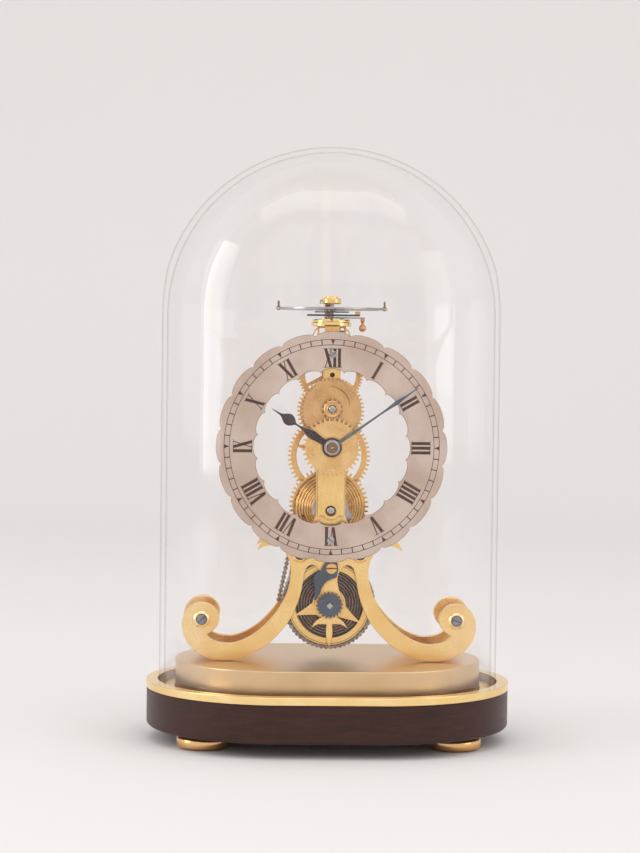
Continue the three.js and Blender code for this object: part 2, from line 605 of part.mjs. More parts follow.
const SECOND_WHEEL = { front: 10.6, back: 11.5 };
const THIRD_WHEEL = { front: -3.6, back: -2.7 };
const CONTRATE = { front: 2.6, back: 4.85, inner: 11.2, outer: 14.2 };

// An arbor with its pivots and one pinion cut on it.
function pinionArbor(leaves, module, pinionFront, pinionBack, phase, tip = 0.75) {
  const shaft = turnedY([[0, -13.8], [PIVOT, -13.8], [PIVOT, -12.1], [ARBOR, -12.1], [ARBOR, 13.1],
    [PIVOT, 13.1], [PIVOT, 14.8], [0, 14.8]], 12);
  const pinion = sheet(gearShape(leaves, module, { tip, thick: 0.36, phase }), pinionFront, pinionBack);
  return join(shaft, pinion);
}

// A toothed wheel with three arms between the radii `inner` and `outer`.
function crossedWheel(teeth, module, inner, outer, armPhase, { front, back }) {
  const shape = gearShape(teeth, module, { taper: 0 });
  const arms = { inner, outer, arms: 3, armHub: 1.3, armRim: 0.5, phase: radians(armPhase) };
  crossings(shape, arms);
  shape.holes.push(roundHole(ARBOR + 0.1));
  return sheet(shape, front, back);
}

function addTrain() {
  const secondPinionPhase = meshPhase(0, TEETH.great, TEETH.secondPinion, GEAR_UP);
  const transfer = sheet(gearShape(TEETH.transfer, TRANSFER_MODULE, { tip: 0.8, phase: GEAR_UP }),
    TRANSFER.front, TRANSFER.back);
  const second = pinionArbor(TEETH.secondPinion, GREAT_MODULE, 6.4, 9, secondPinionPhase);
  add('second_arbor', join(second, transfer), STEEL, 0, 0, SECOND_Z);
  add('second_wheel', crossedWheel(TEETH.second, SECOND_MODULE, 4, 14.4, 162, SECOND_WHEEL), GILT,
    0, 0, SECOND_Z);

  const thirdPhase = meshPhase(0, TEETH.second, TEETH.thirdPinion, GEAR_UP);
  add('third_arbor', pinionArbor(TEETH.thirdPinion, SECOND_MODULE, 9.8, 12.3, thirdPhase), STEEL,
    0, 0, THIRD_Z);
  add('third_wheel', crossedWheel(TEETH.third, THIRD_MODULE, 3.4, 12, 90, THIRD_WHEEL), GILT,
    0, 0, THIRD_Z);

  const contratePhase = meshPhase(0, TEETH.third, TEETH.contratePinion, GEAR_UP);
  add('contrate_arbor',
    pinionArbor(TEETH.contratePinion, THIRD_MODULE, -4.4, -1.9, contratePhase, 0.7), STEEL,
    0, 0, CONTRATE_Z);
  add('contrate_wheel', contrateWheel(), GILT, 0, 0, CONTRATE_Z);
}

// A thick crown of narrow teeth, so that the wheel can turn an upright pinion behind its top.
function contrateWheel() {
  const crown = gearShape(TEETH.contrate, (2 * CONTRATE.outer) / TEETH.contrate,
    { tip: 0, root: 2.3, thick: 0.36, taper: 0, phase: GEAR_UP + Math.PI / TEETH.contrate });
  const arms = { inner: 3, outer: CONTRATE.inner, arms: 3, armHub: 1.2, armRim: 0.6, phase: radians(85) };
  crossings(crown, arms);
  crown.holes.push(roundHole(ARBOR + 0.1));
  return sheet(crown, CONTRATE.front, CONTRATE.back);
}

// ---------- escapement platform ----------

const STAND = { x: 0, y: 1, radius: 8.8, bottom: 180.5, top: 183.7 };
const BRIDGE = { bottom: 174.9, top: 176 };
const STAFF = 0.6;

function levelHoles(shape, holes) {
  for (const [radius, x, y] of holes) shape.holes.push(roundHole(radius, x, y));
  return shape;
}

function addEscapementFrame() {
  const pivots = [[PIVOT + BORE, 0, ESCAPE_Y], [0.4 + BORE, PALLET.x, PALLET.y]];
  const plate = levelHoles(disc(STAND.radius, 28, STAND.x, STAND.y), [[2, 0, 0], ...pivots]);
  add('escapement_platform', slab(plate, STAND.bottom, STAND.top), BRIGHT_BRASS);

  const posts = [[-5.7, 0], [5.9, -0.6]];
  const lower = levelHoles(disc(7.4, 20, 0, 1.6), [[STAFF + BORE, 0, 0], ...pivots]);
  const bars = posts.map(([x, y]) =>
    turnedZ(discProfile(0.8, BRIDGE.top - 0.2, STAND.bottom - REST), 10).translate(x, y, 0));
  add('escapement_bridge', join(slab(lower, BRIDGE.bottom, BRIDGE.top), ...bars), SHADE_BRASS);

  const upright = boxOf(-3.1, 3.1, FRONT_REAR + REST, -8.1, 170, 182.6);
  const tongue = boxOf(-3.1, 3.1, -8.3, -3.5, 178.6, STAND.bottom - REST);
  add('platform_bracket', join(upright, tongue), BRIGHT_BRASS);

  // one bent strip: its feet stand on the top pillars and its middle runs under the platform
  const outer = curveThrough([[8.6, 174.7], [8.3, 177], [7.2, 179.3], [5.6, 180.4]], 2);
  const inner = curveThrough([[4.9, 179.6], [6.5, 178.6], [7.4, 176.8], [7.7, 174.7]], 2);
  const right = [...inner, ...outer];
  const left = right.map((p) => new THREE.Vector2(-p.x, p.y)).reverse();
  add('platform_stay', sheet(new THREE.Shape([...right, ...left]), -3.1, -2.25), GILT);
}

// Extruded along x: the outline is drawn in y and z.
function profileAcross(shape, halfWidth) {
  const geometry = new THREE.ExtrudeGeometry(shape, { depth: 2 * halfWidth, bevelEnabled: false });
  const axes = new THREE.Matrix4().makeBasis(
    new THREE.Vector3(0, 1, 0), new THREE.Vector3(0, 0, 1), new THREE.Vector3(1, 0, 0));
  return geometry.applyMatrix4(axes).translate(-halfWidth, 0, 0);
}

function addBalanceCock() {
  const back = PLATE.backFace + REST;
  const inside = curveThrough([[back + 2.2, 172], [22, 177.5], [26.4, 181.5], [27.4, 186], [26.6, 190.2],
    [24.2, 192.1], [3, 192.1]]);
  const outside = curveThrough([[3, 193.3], [24.4, 193.3], [28.8, 191], [29.8, 186],
    [28.4, 180.4], [23.5, 175.5], [back + 2.2, 167]]);
  const foot = [[back, 165], [back, 175]].map(point);
  const arm = new THREE.Shape([...inside, ...outside, ...foot].reverse());
  const boss = turnedZ([[0, 190.4], [3.6, 190], [4.3, 190.4], [4.3, 192.9], [3.9, 193.4],
    [2.2, 193.4], [2.2, 193.9], [0, 193.9]], 24);
  const pivotHole = turnedZ(discProfile(STAFF + BORE, 188, 191.6), 12);
  add('balance_cock', cut(join(profileAcross(arm, 2.1), boss), pivotHole), BRIGHT_BRASS);
}

function addEscapement() {
  const points = [];
  for (let i = 0; i < TEETH.escape; i += 1) {
    const tooth = (i * TAU) / TEETH.escape;
    for (const [radius, share] of [[2.55, 0.02], [3.4, 0.12], [3.36, 0.24], [2.55, 0.62]]) {
      const angle = tooth + (share * TAU) / TEETH.escape;
      points.push(new THREE.Vector2(radius * Math.cos(angle), radius * Math.sin(angle)));
    }
  }
  const wheel = slab(new THREE.Shape(points), 177.4, 177.9);
  const leaves = gearShape(TEETH.escapePinion, (2 * 1.5) / TEETH.escapePinion,
    { tip: 0.75, root: 1.2, thick: 0.3, phase: -Math.PI / 2 });
  const pinion = slab(leaves, 172.9, 174.6);
  const shaft = turnedZ(discProfile(PIVOT, 171.2, 183.2), 12);
  add('escape_wheel', join(wheel, pinion, shaft), STEEL, 0, ESCAPE_Y);

  // lever: two pallet arms towards the escape wheel and a fork towards the balance staff
  const outline = [[0.9, -0.6], [1.5, -3.7], [0.5, -3.3], [0, -3.6], [-0.5, -3.3], [-1.5, -3.7],
    [-0.9, -0.6], [-2.7, 0.3], [-2.9, 1.6], [-2.1, 1.6], [-1.6, 0.8], [0, 0.7], [1.6, 0.8],
    [2.1, 1.6], [2.9, 1.6], [2.7, 0.3]];
  const lever = slab(new THREE.Shape(outline.map(point).reverse()), 178.2, 178.9);
  lever.rotateZ(Math.atan2(PALLET.y, PALLET.x) - Math.PI / 2);
  const pallets = turnedZ(discProfile(0.4, 175.2, 183.2), 10);
  add('pallet_lever', join(lever, pallets), STEEL, PALLET.x, PALLET.y);
}

// ---------- balance ----------

const BALANCE = { outer: 24.5, inner: 21.8, bottom: 187.8, top: 188.8, pinRadius: 23.2 };

function addBalance() {
  const rim = disc(BALANCE.outer, 40);
  crossings(rim,
    { inner: 2.6, outer: BALANCE.inner, arms: 3, armHub: 1.2, armRim: 0.8, phase: Math.PI / 6 });
  rim.holes.push(roundHole(STAFF + 0.1));
  const pin = discProfile(0.42, BALANCE.top - 0.2, BALANCE.top + 2.9);
  const pins = [-1, 1].map((side) => turnedZ(pin, 8).translate(side * BALANCE.pinRadius, 0, 0));
  add('balance_wheel', join(slab(rim, BALANCE.bottom, BALANCE.top), ...pins), STEEL);

  const staff = turnedZ([[0, 175.2], [STAFF, 175.2], [STAFF, 179.3], [1.5, 179.3], [1.5, 179.9],
    [STAFF, 179.9], [STAFF, 186.6], [1.6, 186.6], [1.6, 187.7], [STAFF, 187.7], [STAFF, 191.2],
    [0, 191.2]], 16);
  const impulsePin = turnedZ(discProfile(0.22, 179.05, 179.6), 8).translate(0.95, 0.85, 0);
  add('balance_staff', join(staff, impulsePin), STEEL);

  add('hairspring', turnedZ(ringProfile(2.1, 7.8, 186.7, 187.2), 24), STEEL);

  // regulator: a blued index and, under it, a steel arm with a drop handle
  const collar = [[1.9, 0, 0]];
  const index = new THREE.Shape([[1.2, -5.4], [8, -3.4], [12.4, -2.9], [12.4, -0.9], [8, -0.6],
    [5.4, 1.6], [2.4, 4.6], [-2.4, 4.6], [-5.4, 1.8], [-10.8, 0.5], [-10.8, -1.2],
    [-5.6, -3.2]].map(point));
  add('regulator_index', slab(levelHoles(index, collar), 185.1, 185.9), BLUED);

  const arm = new THREE.Shape([[-1.6, -3.2], [3, -3.1], [14.6, -2.6], [14.6, -0.4], [3.2, 1.5], [0, 3.4],
    [-3, 1.6], [-3.3, -1]].map(point));
  const drop = turnedZ([[0, 178.3], [0.9, 178.6], [1.5, 179.3], [1.6, 180], [1.3, 180.9],
    [0.75, 181.4], [0.65, 182.2], [0.95, 183.2], [0.95, 184.2], [0, 184.2]], 14);
  drop.translate(13.6, -1.5, 0);
  add('regulator_handle', join(slab(levelHoles(arm, collar), 184.1, 184.7), drop), COPPER);
}

addBase();
addPlates();
addPillars();
addDial();
addFrontBar();
addMotionWork();
addHands();
addRatchet();
addClick();
addBarrel();
addFusee();
addTrain();
addEscapementFrame();
addEscapement();
addBalanceCock();
addBalance();
addDome();

export default clock;
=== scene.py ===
"""Looks of a small skeleton clock: fine meshes, node materials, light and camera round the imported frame.

Lengths in the helpers are millimetres, in the frame's axes: the dial faces -Y and +Z is up.
"""
import json
from math import asin, atan2, copysign, cos, exp, hypot, pi, radians, sin, sqrt, tau

import bmesh
import bpy
from mathutils import Matrix, Vector


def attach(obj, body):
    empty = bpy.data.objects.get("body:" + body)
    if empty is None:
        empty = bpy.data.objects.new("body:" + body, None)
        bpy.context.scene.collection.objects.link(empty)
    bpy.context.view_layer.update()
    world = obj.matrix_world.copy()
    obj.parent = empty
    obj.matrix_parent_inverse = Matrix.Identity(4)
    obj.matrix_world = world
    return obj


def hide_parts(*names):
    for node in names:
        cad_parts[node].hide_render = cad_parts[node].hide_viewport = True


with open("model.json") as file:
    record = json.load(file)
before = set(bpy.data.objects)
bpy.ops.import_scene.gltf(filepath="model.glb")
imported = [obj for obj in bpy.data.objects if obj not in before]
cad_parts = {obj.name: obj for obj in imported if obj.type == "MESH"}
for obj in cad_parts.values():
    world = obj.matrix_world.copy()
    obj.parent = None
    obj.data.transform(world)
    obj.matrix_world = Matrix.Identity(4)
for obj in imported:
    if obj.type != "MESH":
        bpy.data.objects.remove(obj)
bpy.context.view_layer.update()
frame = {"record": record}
record = frame["record"]
BODY_OF = {node: body for body, nodes in record["behaviour"]["bodies"].items() for node in nodes}

MM = 0.001
GAP = 0.06                          # between pieces that touch

# heights of the arbors, all on the middle line
BARREL_Z, FUSEE_Z, SECOND_Z, HANDS_Z = 60, 101.2, 123.4, 128.6
THIRD_Z, MINUTE_Z, CONTRATE_Z = 143.6, 145, 159.6
FRONT_FACE, FRONT_REAR, BACK_FRONT, BACK_FACE = -15.5, -12.5, 13.5, 16.5
SCROLL_X, SCROLL_Z = 55.3, 53.4
DIAL_FRONT, DIAL_THICK = -21.4, 1.2
MINUTE_HAND_ANGLE = radians(54.7)
HOUR_HAND_ANGLE = radians(302.4)
QUARTER = pi / 2                    # of a turn


# ---------- outlines ----------

def smooth(points, per_span=8):
    """A curve through the points, with both ends kept."""
    result = []
    last = len(points) - 1
    for i in range(last):
        before = Vector(points[max(i - 1, 0)])
        start, end = Vector(points[i]), Vector(points[i + 1])
        after = Vector(points[min(i + 2, last)])
        leave, arrive = (end - before) / 2, (after - start) / 2
        for step in range(per_span):
            t = step / per_span
            result.append(tuple((2 * t**3 - 3 * t**2 + 1) * start + (t**3 - 2 * t**2 + t) * leave
                                + (3 * t**2 - 2 * t**3) * end + (t**3 - t**2) * arrive))
    return result + [tuple(points[-1])]


def polar(radius, angle):
    return radius * cos(angle), radius * sin(angle)


def arc(radius, start, end, steps, u=0, v=0):
    """Part of a circle round (u, v), from one angle to another."""
    return [(u + radius * cos(start + (end - start) * i / steps),
             v + radius * sin(start + (end - start) * i / steps)) for i in range(steps + 1)]


def circle(radius, u=0, v=0, steps=64):
    return arc(radius, 0, tau * (1 - 1 / steps), steps - 1, u, v)


def hole(radius):
    return circle(radius, steps=32)


def mirrored(half):
    """A whole outline from its right half, which starts and ends on the middle line."""
    return list(half) + [(-u, v) for u, v in reversed(half) if u > 1e-6]


def soften(points, radius, closed=True, steps=3):
    """Rounds the sharp corners of an outline or a turning profile."""
    result = []
    count = len(points)
    for i, point in enumerate(points):
        if not closed and i in (0, count - 1):
            result.append(point)
            continue
        here = Vector(point)
        back, on = Vector(points[i - 1]) - here, Vector(points[(i + 1) % count]) - here
        if back.length < 1e-6 or on.length < 1e-6 or back.angle(-on) < radians(25):
            result.append(point)
            continue
        reach = min(radius, back.length * 0.45, on.length * 0.45)
        first, final = here + back.normalized() * reach, here + on.normalized() * reach
        for step in range(steps + 1):
            t = step / steps
            result.append(tuple(first * (1 - t) ** 2 + here * (2 * t * (1 - t)) + final * t**2))
    return result


def moved(loop, u=0, v=0, turn=0):
    """The outline turned clockwise as the dial reads, then shifted."""
    c, s = cos(turn), sin(turn)
    return [(p * c + q * s + u, -p * s + q * c + v) for p, q in loop]


def gear(teeth, module, phase, tip=0.9, root=1.15, thick=0.42):
    """Outline of a toothed wheel with rounded tips. Tooth 0 points at phase."""
    pitch = teeth * module / 2
    half = thick * pi / teeth
    flank = [(-root, 1.2), (0, 0.95), (tip * 0.6, 0.72), (tip * 0.95, 0.4)]
    corners = [(height, -side) for height, side in flank] + [(tip, 0)] + flank[::-1]
    loop = []
    for i in range(teeth):
        middle = phase + i * tau / teeth
        for height, side in corners:
            loop.append(polar(pitch + height * module, middle + side * half))
    return loop


def toothed(teeth, corners):
    """Outline of a wheel from each tooth's corners: a radius, and a share of the tooth's pitch."""
    return [polar(radius, i * tau / teeth + share * tau / teeth)
            for i in range(teeth) for radius, share in corners]


def mesh_phase(driver_phase, driver_teeth, follower_teeth, direction=QUARTER):
    """Where a follower's tooth points when its gap faces the driver's tooth."""
    turned = (driver_phase - direction) * driver_teeth / follower_teeth
    return direction + pi - turned + pi / follower_teeth


def crossings(inner, outer, first_arm, hub_half=1.3, rim_half=0.6, corner=0.8):
    """The windows between a wheel's three arms."""
    windows = []
    for i in range(3):
        start = first_arm + i * tau / 3
        end = start + tau / 3
        hub, rim = hub_half / inner, rim_half / outer
        window = arc(outer, start + rim, end - rim, 28) + arc(inner, end - hub, start + hub, 10)
        windows.append(soften(window, corner))
    return windows


def lobed(radius, rise):
    """A ring's edge of twenty round lobes."""
    lobes, steps = 20, 14
    half = pi / lobes
    loop = []
    for i in range(lobes * steps):
        along = (i % steps) / steps * 2 - 1
        angle = QUARTER + (i // steps) * 2 * half + along * half
        loop.append(polar(radius + rise * sqrt(max(0, 1 - along * along)), angle))
    return loop


# ---------- solids: each is a list of corners and a list of faces ----------

def show(thing):
    bpy.context.scene.collection.objects.link(thing)


def flat(loops, front, back, bevel=0.12, level=False):
    """Cut from sheet, with eased edges. Upright from y=front to y=back, or level from z=front to z=back."""
    curve = bpy.data.curves.new("outline", "CURVE")
    curve.dimensions = "2D"
    curve.fill_mode = "BOTH"
    curve.bevel_depth = bevel
    curve.bevel_resolution = 1
    curve.offset = -bevel
    curve.extrude = (back - front) / 2 - bevel
    for loop in loops:
        spline = curve.splines.new("POLY")
        spline.points.add(len(loop) - 1)
        for knot, (u, v) in zip(spline.points, loop):
            knot.co = (u, v, 0, 1)
        spline.use_cyclic_u = True
    holder = bpy.data.objects.new("outline", curve)
    show(holder)
    graph = bpy.context.evaluated_depsgraph_get()
    mesh = bpy.data.meshes.new_from_object(holder.evaluated_get(graph))
    middle = (front + back) / 2
    corners = [(p.co.x, p.co.y, middle + p.co.z) if level else (p.co.x, middle - p.co.z, p.co.y)
               for p in mesh.vertices]
    faces = [tuple(face.vertices) for face in mesh.polygons]
    bpy.data.objects.remove(holder)
    bpy.data.curves.remove(curve)
    bpy.data.meshes.remove(mesh)
    return corners, faces


def lathe(profile, segments=72, upright=False):
    """Turned from [radius, height] points: about Y, or about Z when upright."""
    corners, rings = [], []
    closed = profile[0] == profile[-1]
    for radius, height in profile[:-1] if closed else profile:
        start = len(corners)
        count = 1 if radius < 1e-6 else segments
        for i in range(count):
            u, v = polar(radius, tau * i / segments)
            corners.append((u, v, height) if upright else (u, height, v))
        rings.append(range(start, start + count))
    faces = []
    for low, high in zip(rings, rings[1:] + rings[:1] if closed else rings[1:]):
        for i in range(segments):
            j = (i + 1) % segments
            face = (low[i % len(low)], low[j % len(low)], high[j % len(high)], high[i % len(high)])
            face = tuple(dict.fromkeys(face))
            if len(face) > 2:
                faces.append(face)
    return corners, faces


def ring(inner, outer, start, end, segments=72, upright=False, ease=0.12):
    profile = soften([(inner, start), (outer, start), (outer, end), (inner, end)], ease)
    return lathe(profile + profile[:1], segments, upright)


def stepped(*steps):
    """Profile of a stepped shaft: the heights of its ends and shoulders, with the radius between each two."""
    profile = [(steps[i], height) for i in range(1, len(steps), 2) for height in (steps[i - 1], steps[i + 1])]
    return [(0, steps[0])] + profile + [(0, steps[-1])]


def turned(profile, ease=0.15, segments=72, upright=False):
    """A turned solid with its corners eased."""
    return lathe(soften(profile, ease, closed=False), segments, upright)


def prism(loop, front, back):
    """A plain upright plate with a convex outline."""
    count = len(loop)
    corners = [(u, y, v) for y in (front, back) for u, v in loop]
    sides = [(i, (i + 1) % count, count + (i + 1) % count, count + i) for i in range(count)]
    return corners, [tuple(range(count)), tuple(range(2 * count - 1, count - 1, -1))] + sides


def tube_between(start, end, radius, sides=10):
    """A round bar from one point to another."""
    start, end = Vector(start), Vector(end)
    facing = (end - start).to_track_quat("Z", "Y")
    corners = [tuple(at + facing @ Vector((*polar(radius, tau * i / sides), 0)))
               for at in (start, end) for i in range(sides)]
    faces = [tuple(range(sides)), tuple(range(2 * sides - 1, sides - 1, -1))]
    return corners, faces + [(i, (i + 1) % sides, sides + (i + 1) % sides, sides + i) for i in range(sides)]


def coil(inner, outer, turns, thick, low, high, upright=False, steps=64, rise=0, bend=1):
    """A flat strip wound in a spiral, which may climb along its axis and swell by a power."""
    corners, faces = [], []
    count = int(turns * steps)
    for i in range(count + 1):
        angle, along = tau * i / steps, i / count
        middle = inner + (outer - inner) * along**bend
        for radius, edge in ((middle - thick / 2, low), (middle + thick / 2, low),
                             (middle + thick / 2, high), (middle - thick / 2, high)):
            (u, v), height = polar(radius, angle), edge + rise * along
            corners.append((u, v, height) if upright else (u, height, v))
    for i in range(count):
        for side in range(4):
            a, b = 4 * i + side, 4 * i + (side + 1) % 4
            faces.append((a, b, b + 4, a + 4))
    return corners, faces + [(3, 2, 1, 0), tuple(range(4 * count, 4 * count + 4))]


def place(part, x=0, y=0, z=0, turn=Matrix.Identity(4)):
    """The solid turned by a matrix, then shifted."""
    corners, faces = part
    return [tuple(turn @ Vector(c) + Vector((x, y, z))) for c in corners], faces


def oval(profile, straight, share=lambda radius: 1):
    """Turned about Z, then drawn out sideways into an oval with straight long sides."""
    return oval_of(lathe(profile, OVAL_SEGMENTS, upright=True), straight, share)


def oval_of(part, straight, share=lambda radius: 1):
    """The turned solid drawn out sideways by a share of the straight length that may vary with the radius."""
    corners, faces = part
    drawn = []
    for x, y, z in corners:
        side = 0 if abs(x) < 1e-6 else copysign(1, x)
        drawn.append((x + side * straight * share(hypot(x, y)), y, z))
    return drawn, faces


def slotted_head(radius, height, slot, angle):
    """A screw head that stands forward from y=0: two half moons on a disc."""
    base = turned(stepped(-height * 0.2, radius, 0), 0.05, 40)
    lean = asin(slot / 2 / radius)
    moons = [moved(arc(radius, lean + side, pi - lean + side, 20), turn=angle) for side in (0, pi)]
    return [base] + [flat([moon], -height, -height * 0.2 + 0.02, min(0.2, height * 0.2)) for moon in moons]


def joined(parts):
    """Several solids as one."""
    corners, faces = [], []
    for part_corners, part_faces in parts:
        faces += [tuple(len(corners) + i for i in face) for face in part_faces]
        corners += part_corners
    return corners, faces


def piece(name, parts, body, material, z=0, replaces=(), sharp=32):
    """One object made of the given solids, raised by z, riding on a body of the frame. Folds over sharp
    degrees stay hard edges."""
    corners, faces = joined([place(part, z=z) for part in parts] if z else parts)
    mesh = bpy.data.meshes.new(name)
    mesh.from_pydata([[MM * length for length in corner] for corner in corners], [], faces)
    work = bmesh.new()
    work.from_mesh(mesh)
    bmesh.ops.remove_doubles(work, verts=work.verts, dist=1e-7)
    bmesh.ops.recalc_face_normals(work, faces=work.faces)
    work.to_mesh(mesh)
    work.free()
    mesh.shade_smooth()
    mesh.set_sharp_from_angle(angle=radians(sharp))
    mesh.materials.append(material)
    made = bpy.data.objects.new(name, mesh)
    made.modifiers.new("even", "WEIGHTED_NORMAL").keep_sharp = True
    show(made)
    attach(made, body)
    if replaces:
        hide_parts(*replaces)


def fine(node, parts, material, z=0, sharp=32):
    """The piece that stands for a CAD node, on that node's body and in the given material."""
    piece(f"{node}_fine", parts, BODY_OF[node], material, z, [node], sharp)


# ---------- materials ----------

class Nodes:
    """A node tree under construction. A colour is three numbers, or the socket that gives it."""

    def __init__(self, owner):
        owner.use_nodes = True
        self.tree = owner.node_tree

    def feed(self, socket, value):
        if isinstance(value, bpy.types.NodeSocket):
            self.tree.links.new(value, socket)
        else:
            socket.default_value = (*value, 1) if socket.type == "RGBA" else value

    def node(self, kind, inputs, **settings):
        node = self.tree.nodes.new(kind)
        for key, value in settings.items():
            setattr(node, key, value)
        for key, value in inputs.items():
            self.feed(node.inputs[key], value)
        return node

    def span(self, value, low, high, start=0.3, end=0.7):
        """Maps a value from start..end to low..high."""
        return self.node("ShaderNodeMapRange", {"Value": value, "From Min": start, "From Max": end,
                                                "To Min": low, "To Max": high}).outputs[0]

    def blend(self, factor, first, second):
        return self.node("ShaderNodeMix", {"Factor": factor, 6: first, 7: second},
                         data_type="RGBA").outputs[2]


class Surface(Nodes):
    """A material under construction."""

    def __init__(self, name):
        self.material = bpy.data.materials.new(name)
        super().__init__(self.material)
        self.shader = self.tree.nodes["Principled BSDF"]
        self.spot = self.tree.nodes.new("ShaderNodeTexCoord").outputs["Object"]

    def set(self, **inputs):
        for key, value in inputs.items():
            self.feed(self.shader.inputs[key.replace("_", " ")], value)

    def noise(self, size, stretch=(1, 1, 1), detail=3, rough=0.5):
        """Noise whose blobs are about size millimetres across, drawn out by stretch."""
        scale = tuple(1 / (size * MM * s) for s in stretch)
        spot = self.node("ShaderNodeMapping", {"Vector": self.spot, "Scale": scale}).outputs[0]
        return self.node("ShaderNodeTexNoise", {"Vector": spot, "Scale": 1, "Detail": detail,
                                                "Roughness": rough}).outputs["Fac"]

    def rings(self, size, z):
        """Turning marks round an axis along Y at height z."""
        spot = self.node("ShaderNodeVectorMath", {0: self.spot, 1: (0, 0, z * MM)},
                         operation="SUBTRACT").outputs[0]
        level = self.node("ShaderNodeVectorMath", {0: spot, 1: (1, 0, 1)}, operation="MULTIPLY").outputs[0]
        radius = self.node("ShaderNodeVectorMath", {0: level}, operation="LENGTH").outputs["Value"]
        return self.node("ShaderNodeTexNoise", {"W": radius, "Scale": 1 / (size * MM), "Detail": 2},
                         noise_dimensions="1D").outputs["Fac"]

    def occlusion_shade(self, reach, most):
        """Painted shade: how much to darken where other metal is within reach millimetres, by ambient
        occlusion, for the shadows in hollows and between parts.
        """
        near = self.node("ShaderNodeAmbientOcclusion", {"Distance": reach * MM}, samples=8)
        return self.span(near.outputs["AO"], most, 0, 0.2, 0.85)

    def bump(self, height, depth):
        """A normal from a height that stands for depth millimetres."""
        return self.node("ShaderNodeBump", {"Height": height, "Distance": depth * MM,
                                            "Strength": 1}).outputs[0]


PAINTED_SHADE_SHARES = (0.42, 0.26, 0.14)    # of the metal's red, green and blue kept in the painted shade of hollows


def metal(name, dark, light, rough=(0.2, 0.32), grain=0.25, stretch=(1, 1, 1), cloud=14, depth=0.004,
          turned_at=None, speckle=0.0, metallic=1, crevice_shade=0.85):
    """Metal with a fine grain or turning marks, cloudy tone, a little pitting and painted shade in its
    hollows.
    """
    surface = Surface(name)
    tone = surface.span(surface.noise(cloud, detail=4), 0, 1, 0.35, 0.65)
    color = surface.blend(tone, dark, light)
    grains = surface.rings(grain, turned_at) if turned_at else surface.noise(grain, stretch, 2)
    color = surface.blend(surface.span(grains, 0, 0.35), color, dark)
    if speckle:
        spots = surface.span(surface.noise(0.7, detail=5, rough=0.7), 0, speckle, 0.56, 0.7)
        color = surface.blend(spots, color, tuple(0.45 * c for c in dark))
    # painted shade: darken towards a brown tint where other metal is near, for the shadows in hollows and
    # between parts
    shade_tint = tuple(share * c for share, c in zip(PAINTED_SHADE_SHARES, dark))
    color = surface.blend(surface.occlusion_shade(2, crevice_shade), color, shade_tint)
    mixed = surface.node("ShaderNodeMath", {0: grains, 1: tone, 2: 0.1}, operation="MULTIPLY_ADD")
    surface.set(Base_Color=color, Metallic=metallic, Specular_IOR_Level=0.5 if metallic else 0.15,
                Roughness=surface.span(mixed.outputs[0], rough[0], rough[1], 0.15, 0.75),
                Normal=surface.bump(grains, depth))
    return surface.material


def wood(name):
    """Dark polished mahogany with long grain and fine pores."""
    surface = Surface(name)
    grain = surface.noise(1.8, (7, 7, 1), 6, 0.65)
    pores = surface.noise(0.4, (5, 5, 1), 4, 0.7)
    color = surface.blend(surface.span(grain, 0, 1, 0.32, 0.68), (0.024, 0.007, 0.005), (0.052, 0.014, 0.009))
    color = surface.blend(surface.span(pores, 0, 0.7, 0.56, 0.66), color, (0.012, 0.005, 0.004))
    surface.set(Base_Color=color, Roughness=surface.span(grain, 0.36, 0.48), Specular_IOR_Level=0.32,
                Coat_Weight=0.06, Coat_Roughness=0.25, Normal=surface.bump(pores, 0.02))
    return surface.material


def silvering(name):
    """Silvered brass, rubbed with a grain along the dial."""
    surface = Surface(name)
    rubbed = surface.noise(0.16, (1, 1, 14), 3)
    cloud = surface.noise(16, detail=5)
    color = surface.blend(surface.span(cloud, 0, 1, 0.36, 0.64), (0.53, 0.40, 0.325), (0.66, 0.545, 0.475))
    color = surface.blend(surface.span(rubbed, 0, 0.3), color, (0.46, 0.345, 0.28))
    surface.set(Base_Color=color, Metallic=0.6, Roughness=surface.span(rubbed, 0.36, 0.5),
                Normal=surface.bump(rubbed, 0.006))
    return surface.material


def glass(name):
    """Thin clear glass: it shows what is behind it and mirrors more at a slant."""
    surface = Surface(name)
    edge_on = surface.node("ShaderNodeLayerWeight", {"Blend": 0.5}).outputs["Facing"]
    tint = surface.blend(surface.span(edge_on, 0, 1, 0.8, 1), (0.996, 0.995, 0.995), (0.80, 0.78, 0.77))
    clear = surface.node("ShaderNodeBsdfTransparent", {"Color": tint}).outputs[0]
    shine = surface.node("ShaderNodeBsdfGlossy", {"Color": (1, 1, 1), "Roughness": 0.05}).outputs[0]
    slant = surface.node("ShaderNodeFresnel", {"IOR": 1.34}).outputs[0]
    share = surface.node("ShaderNodeMath", {0: slant, 1: 0.12}, operation="MINIMUM").outputs[0]
    mixed = surface.node("ShaderNodeMixShader", {0: share, 1: clear, 2: shine}).outputs[0]
    surface.feed(surface.tree.nodes["Material Output"].inputs["Surface"], mixed)
    surface.tree.nodes.remove(surface.shader)
    return surface.material


PLATE_BRASS = metal("plate_brass", (0.86, 0.55, 0.19), (0.96, 0.69, 0.30), (0.16, 0.36), 0.3, (1, 1, 5),
                    depth=0.008, speckle=0.4)
WHEEL_BRASS = metal("wheel_brass", (0.78, 0.45, 0.155), (0.90, 0.585, 0.24), (0.22, 0.36), 0.3, speckle=0.2)
MOTION_BRASS = metal("motion_brass", (0.62, 0.35, 0.145), (0.76, 0.47, 0.21), (0.26, 0.4), 0.9, cloud=6,
                     turned_at=MINUTE_Z, speckle=0.4)
HOUR_BRASS = metal("hour_brass", (0.78, 0.48, 0.19), (0.89, 0.61, 0.285), (0.24, 0.4), 0.7, cloud=6,
                   turned_at=HANDS_Z, speckle=0.3)
FUSEE_BRASS = metal("fusee_brass", (0.50, 0.26, 0.08), (0.70, 0.42, 0.15), (0.2, 0.34), 0.4,
                    turned_at=FUSEE_Z)
BARREL_BRASS = metal("barrel_brass", (0.80, 0.50, 0.16), (0.92, 0.64, 0.26), (0.2, 0.34), 0.25,
                     turned_at=BARREL_Z, speckle=0.25)
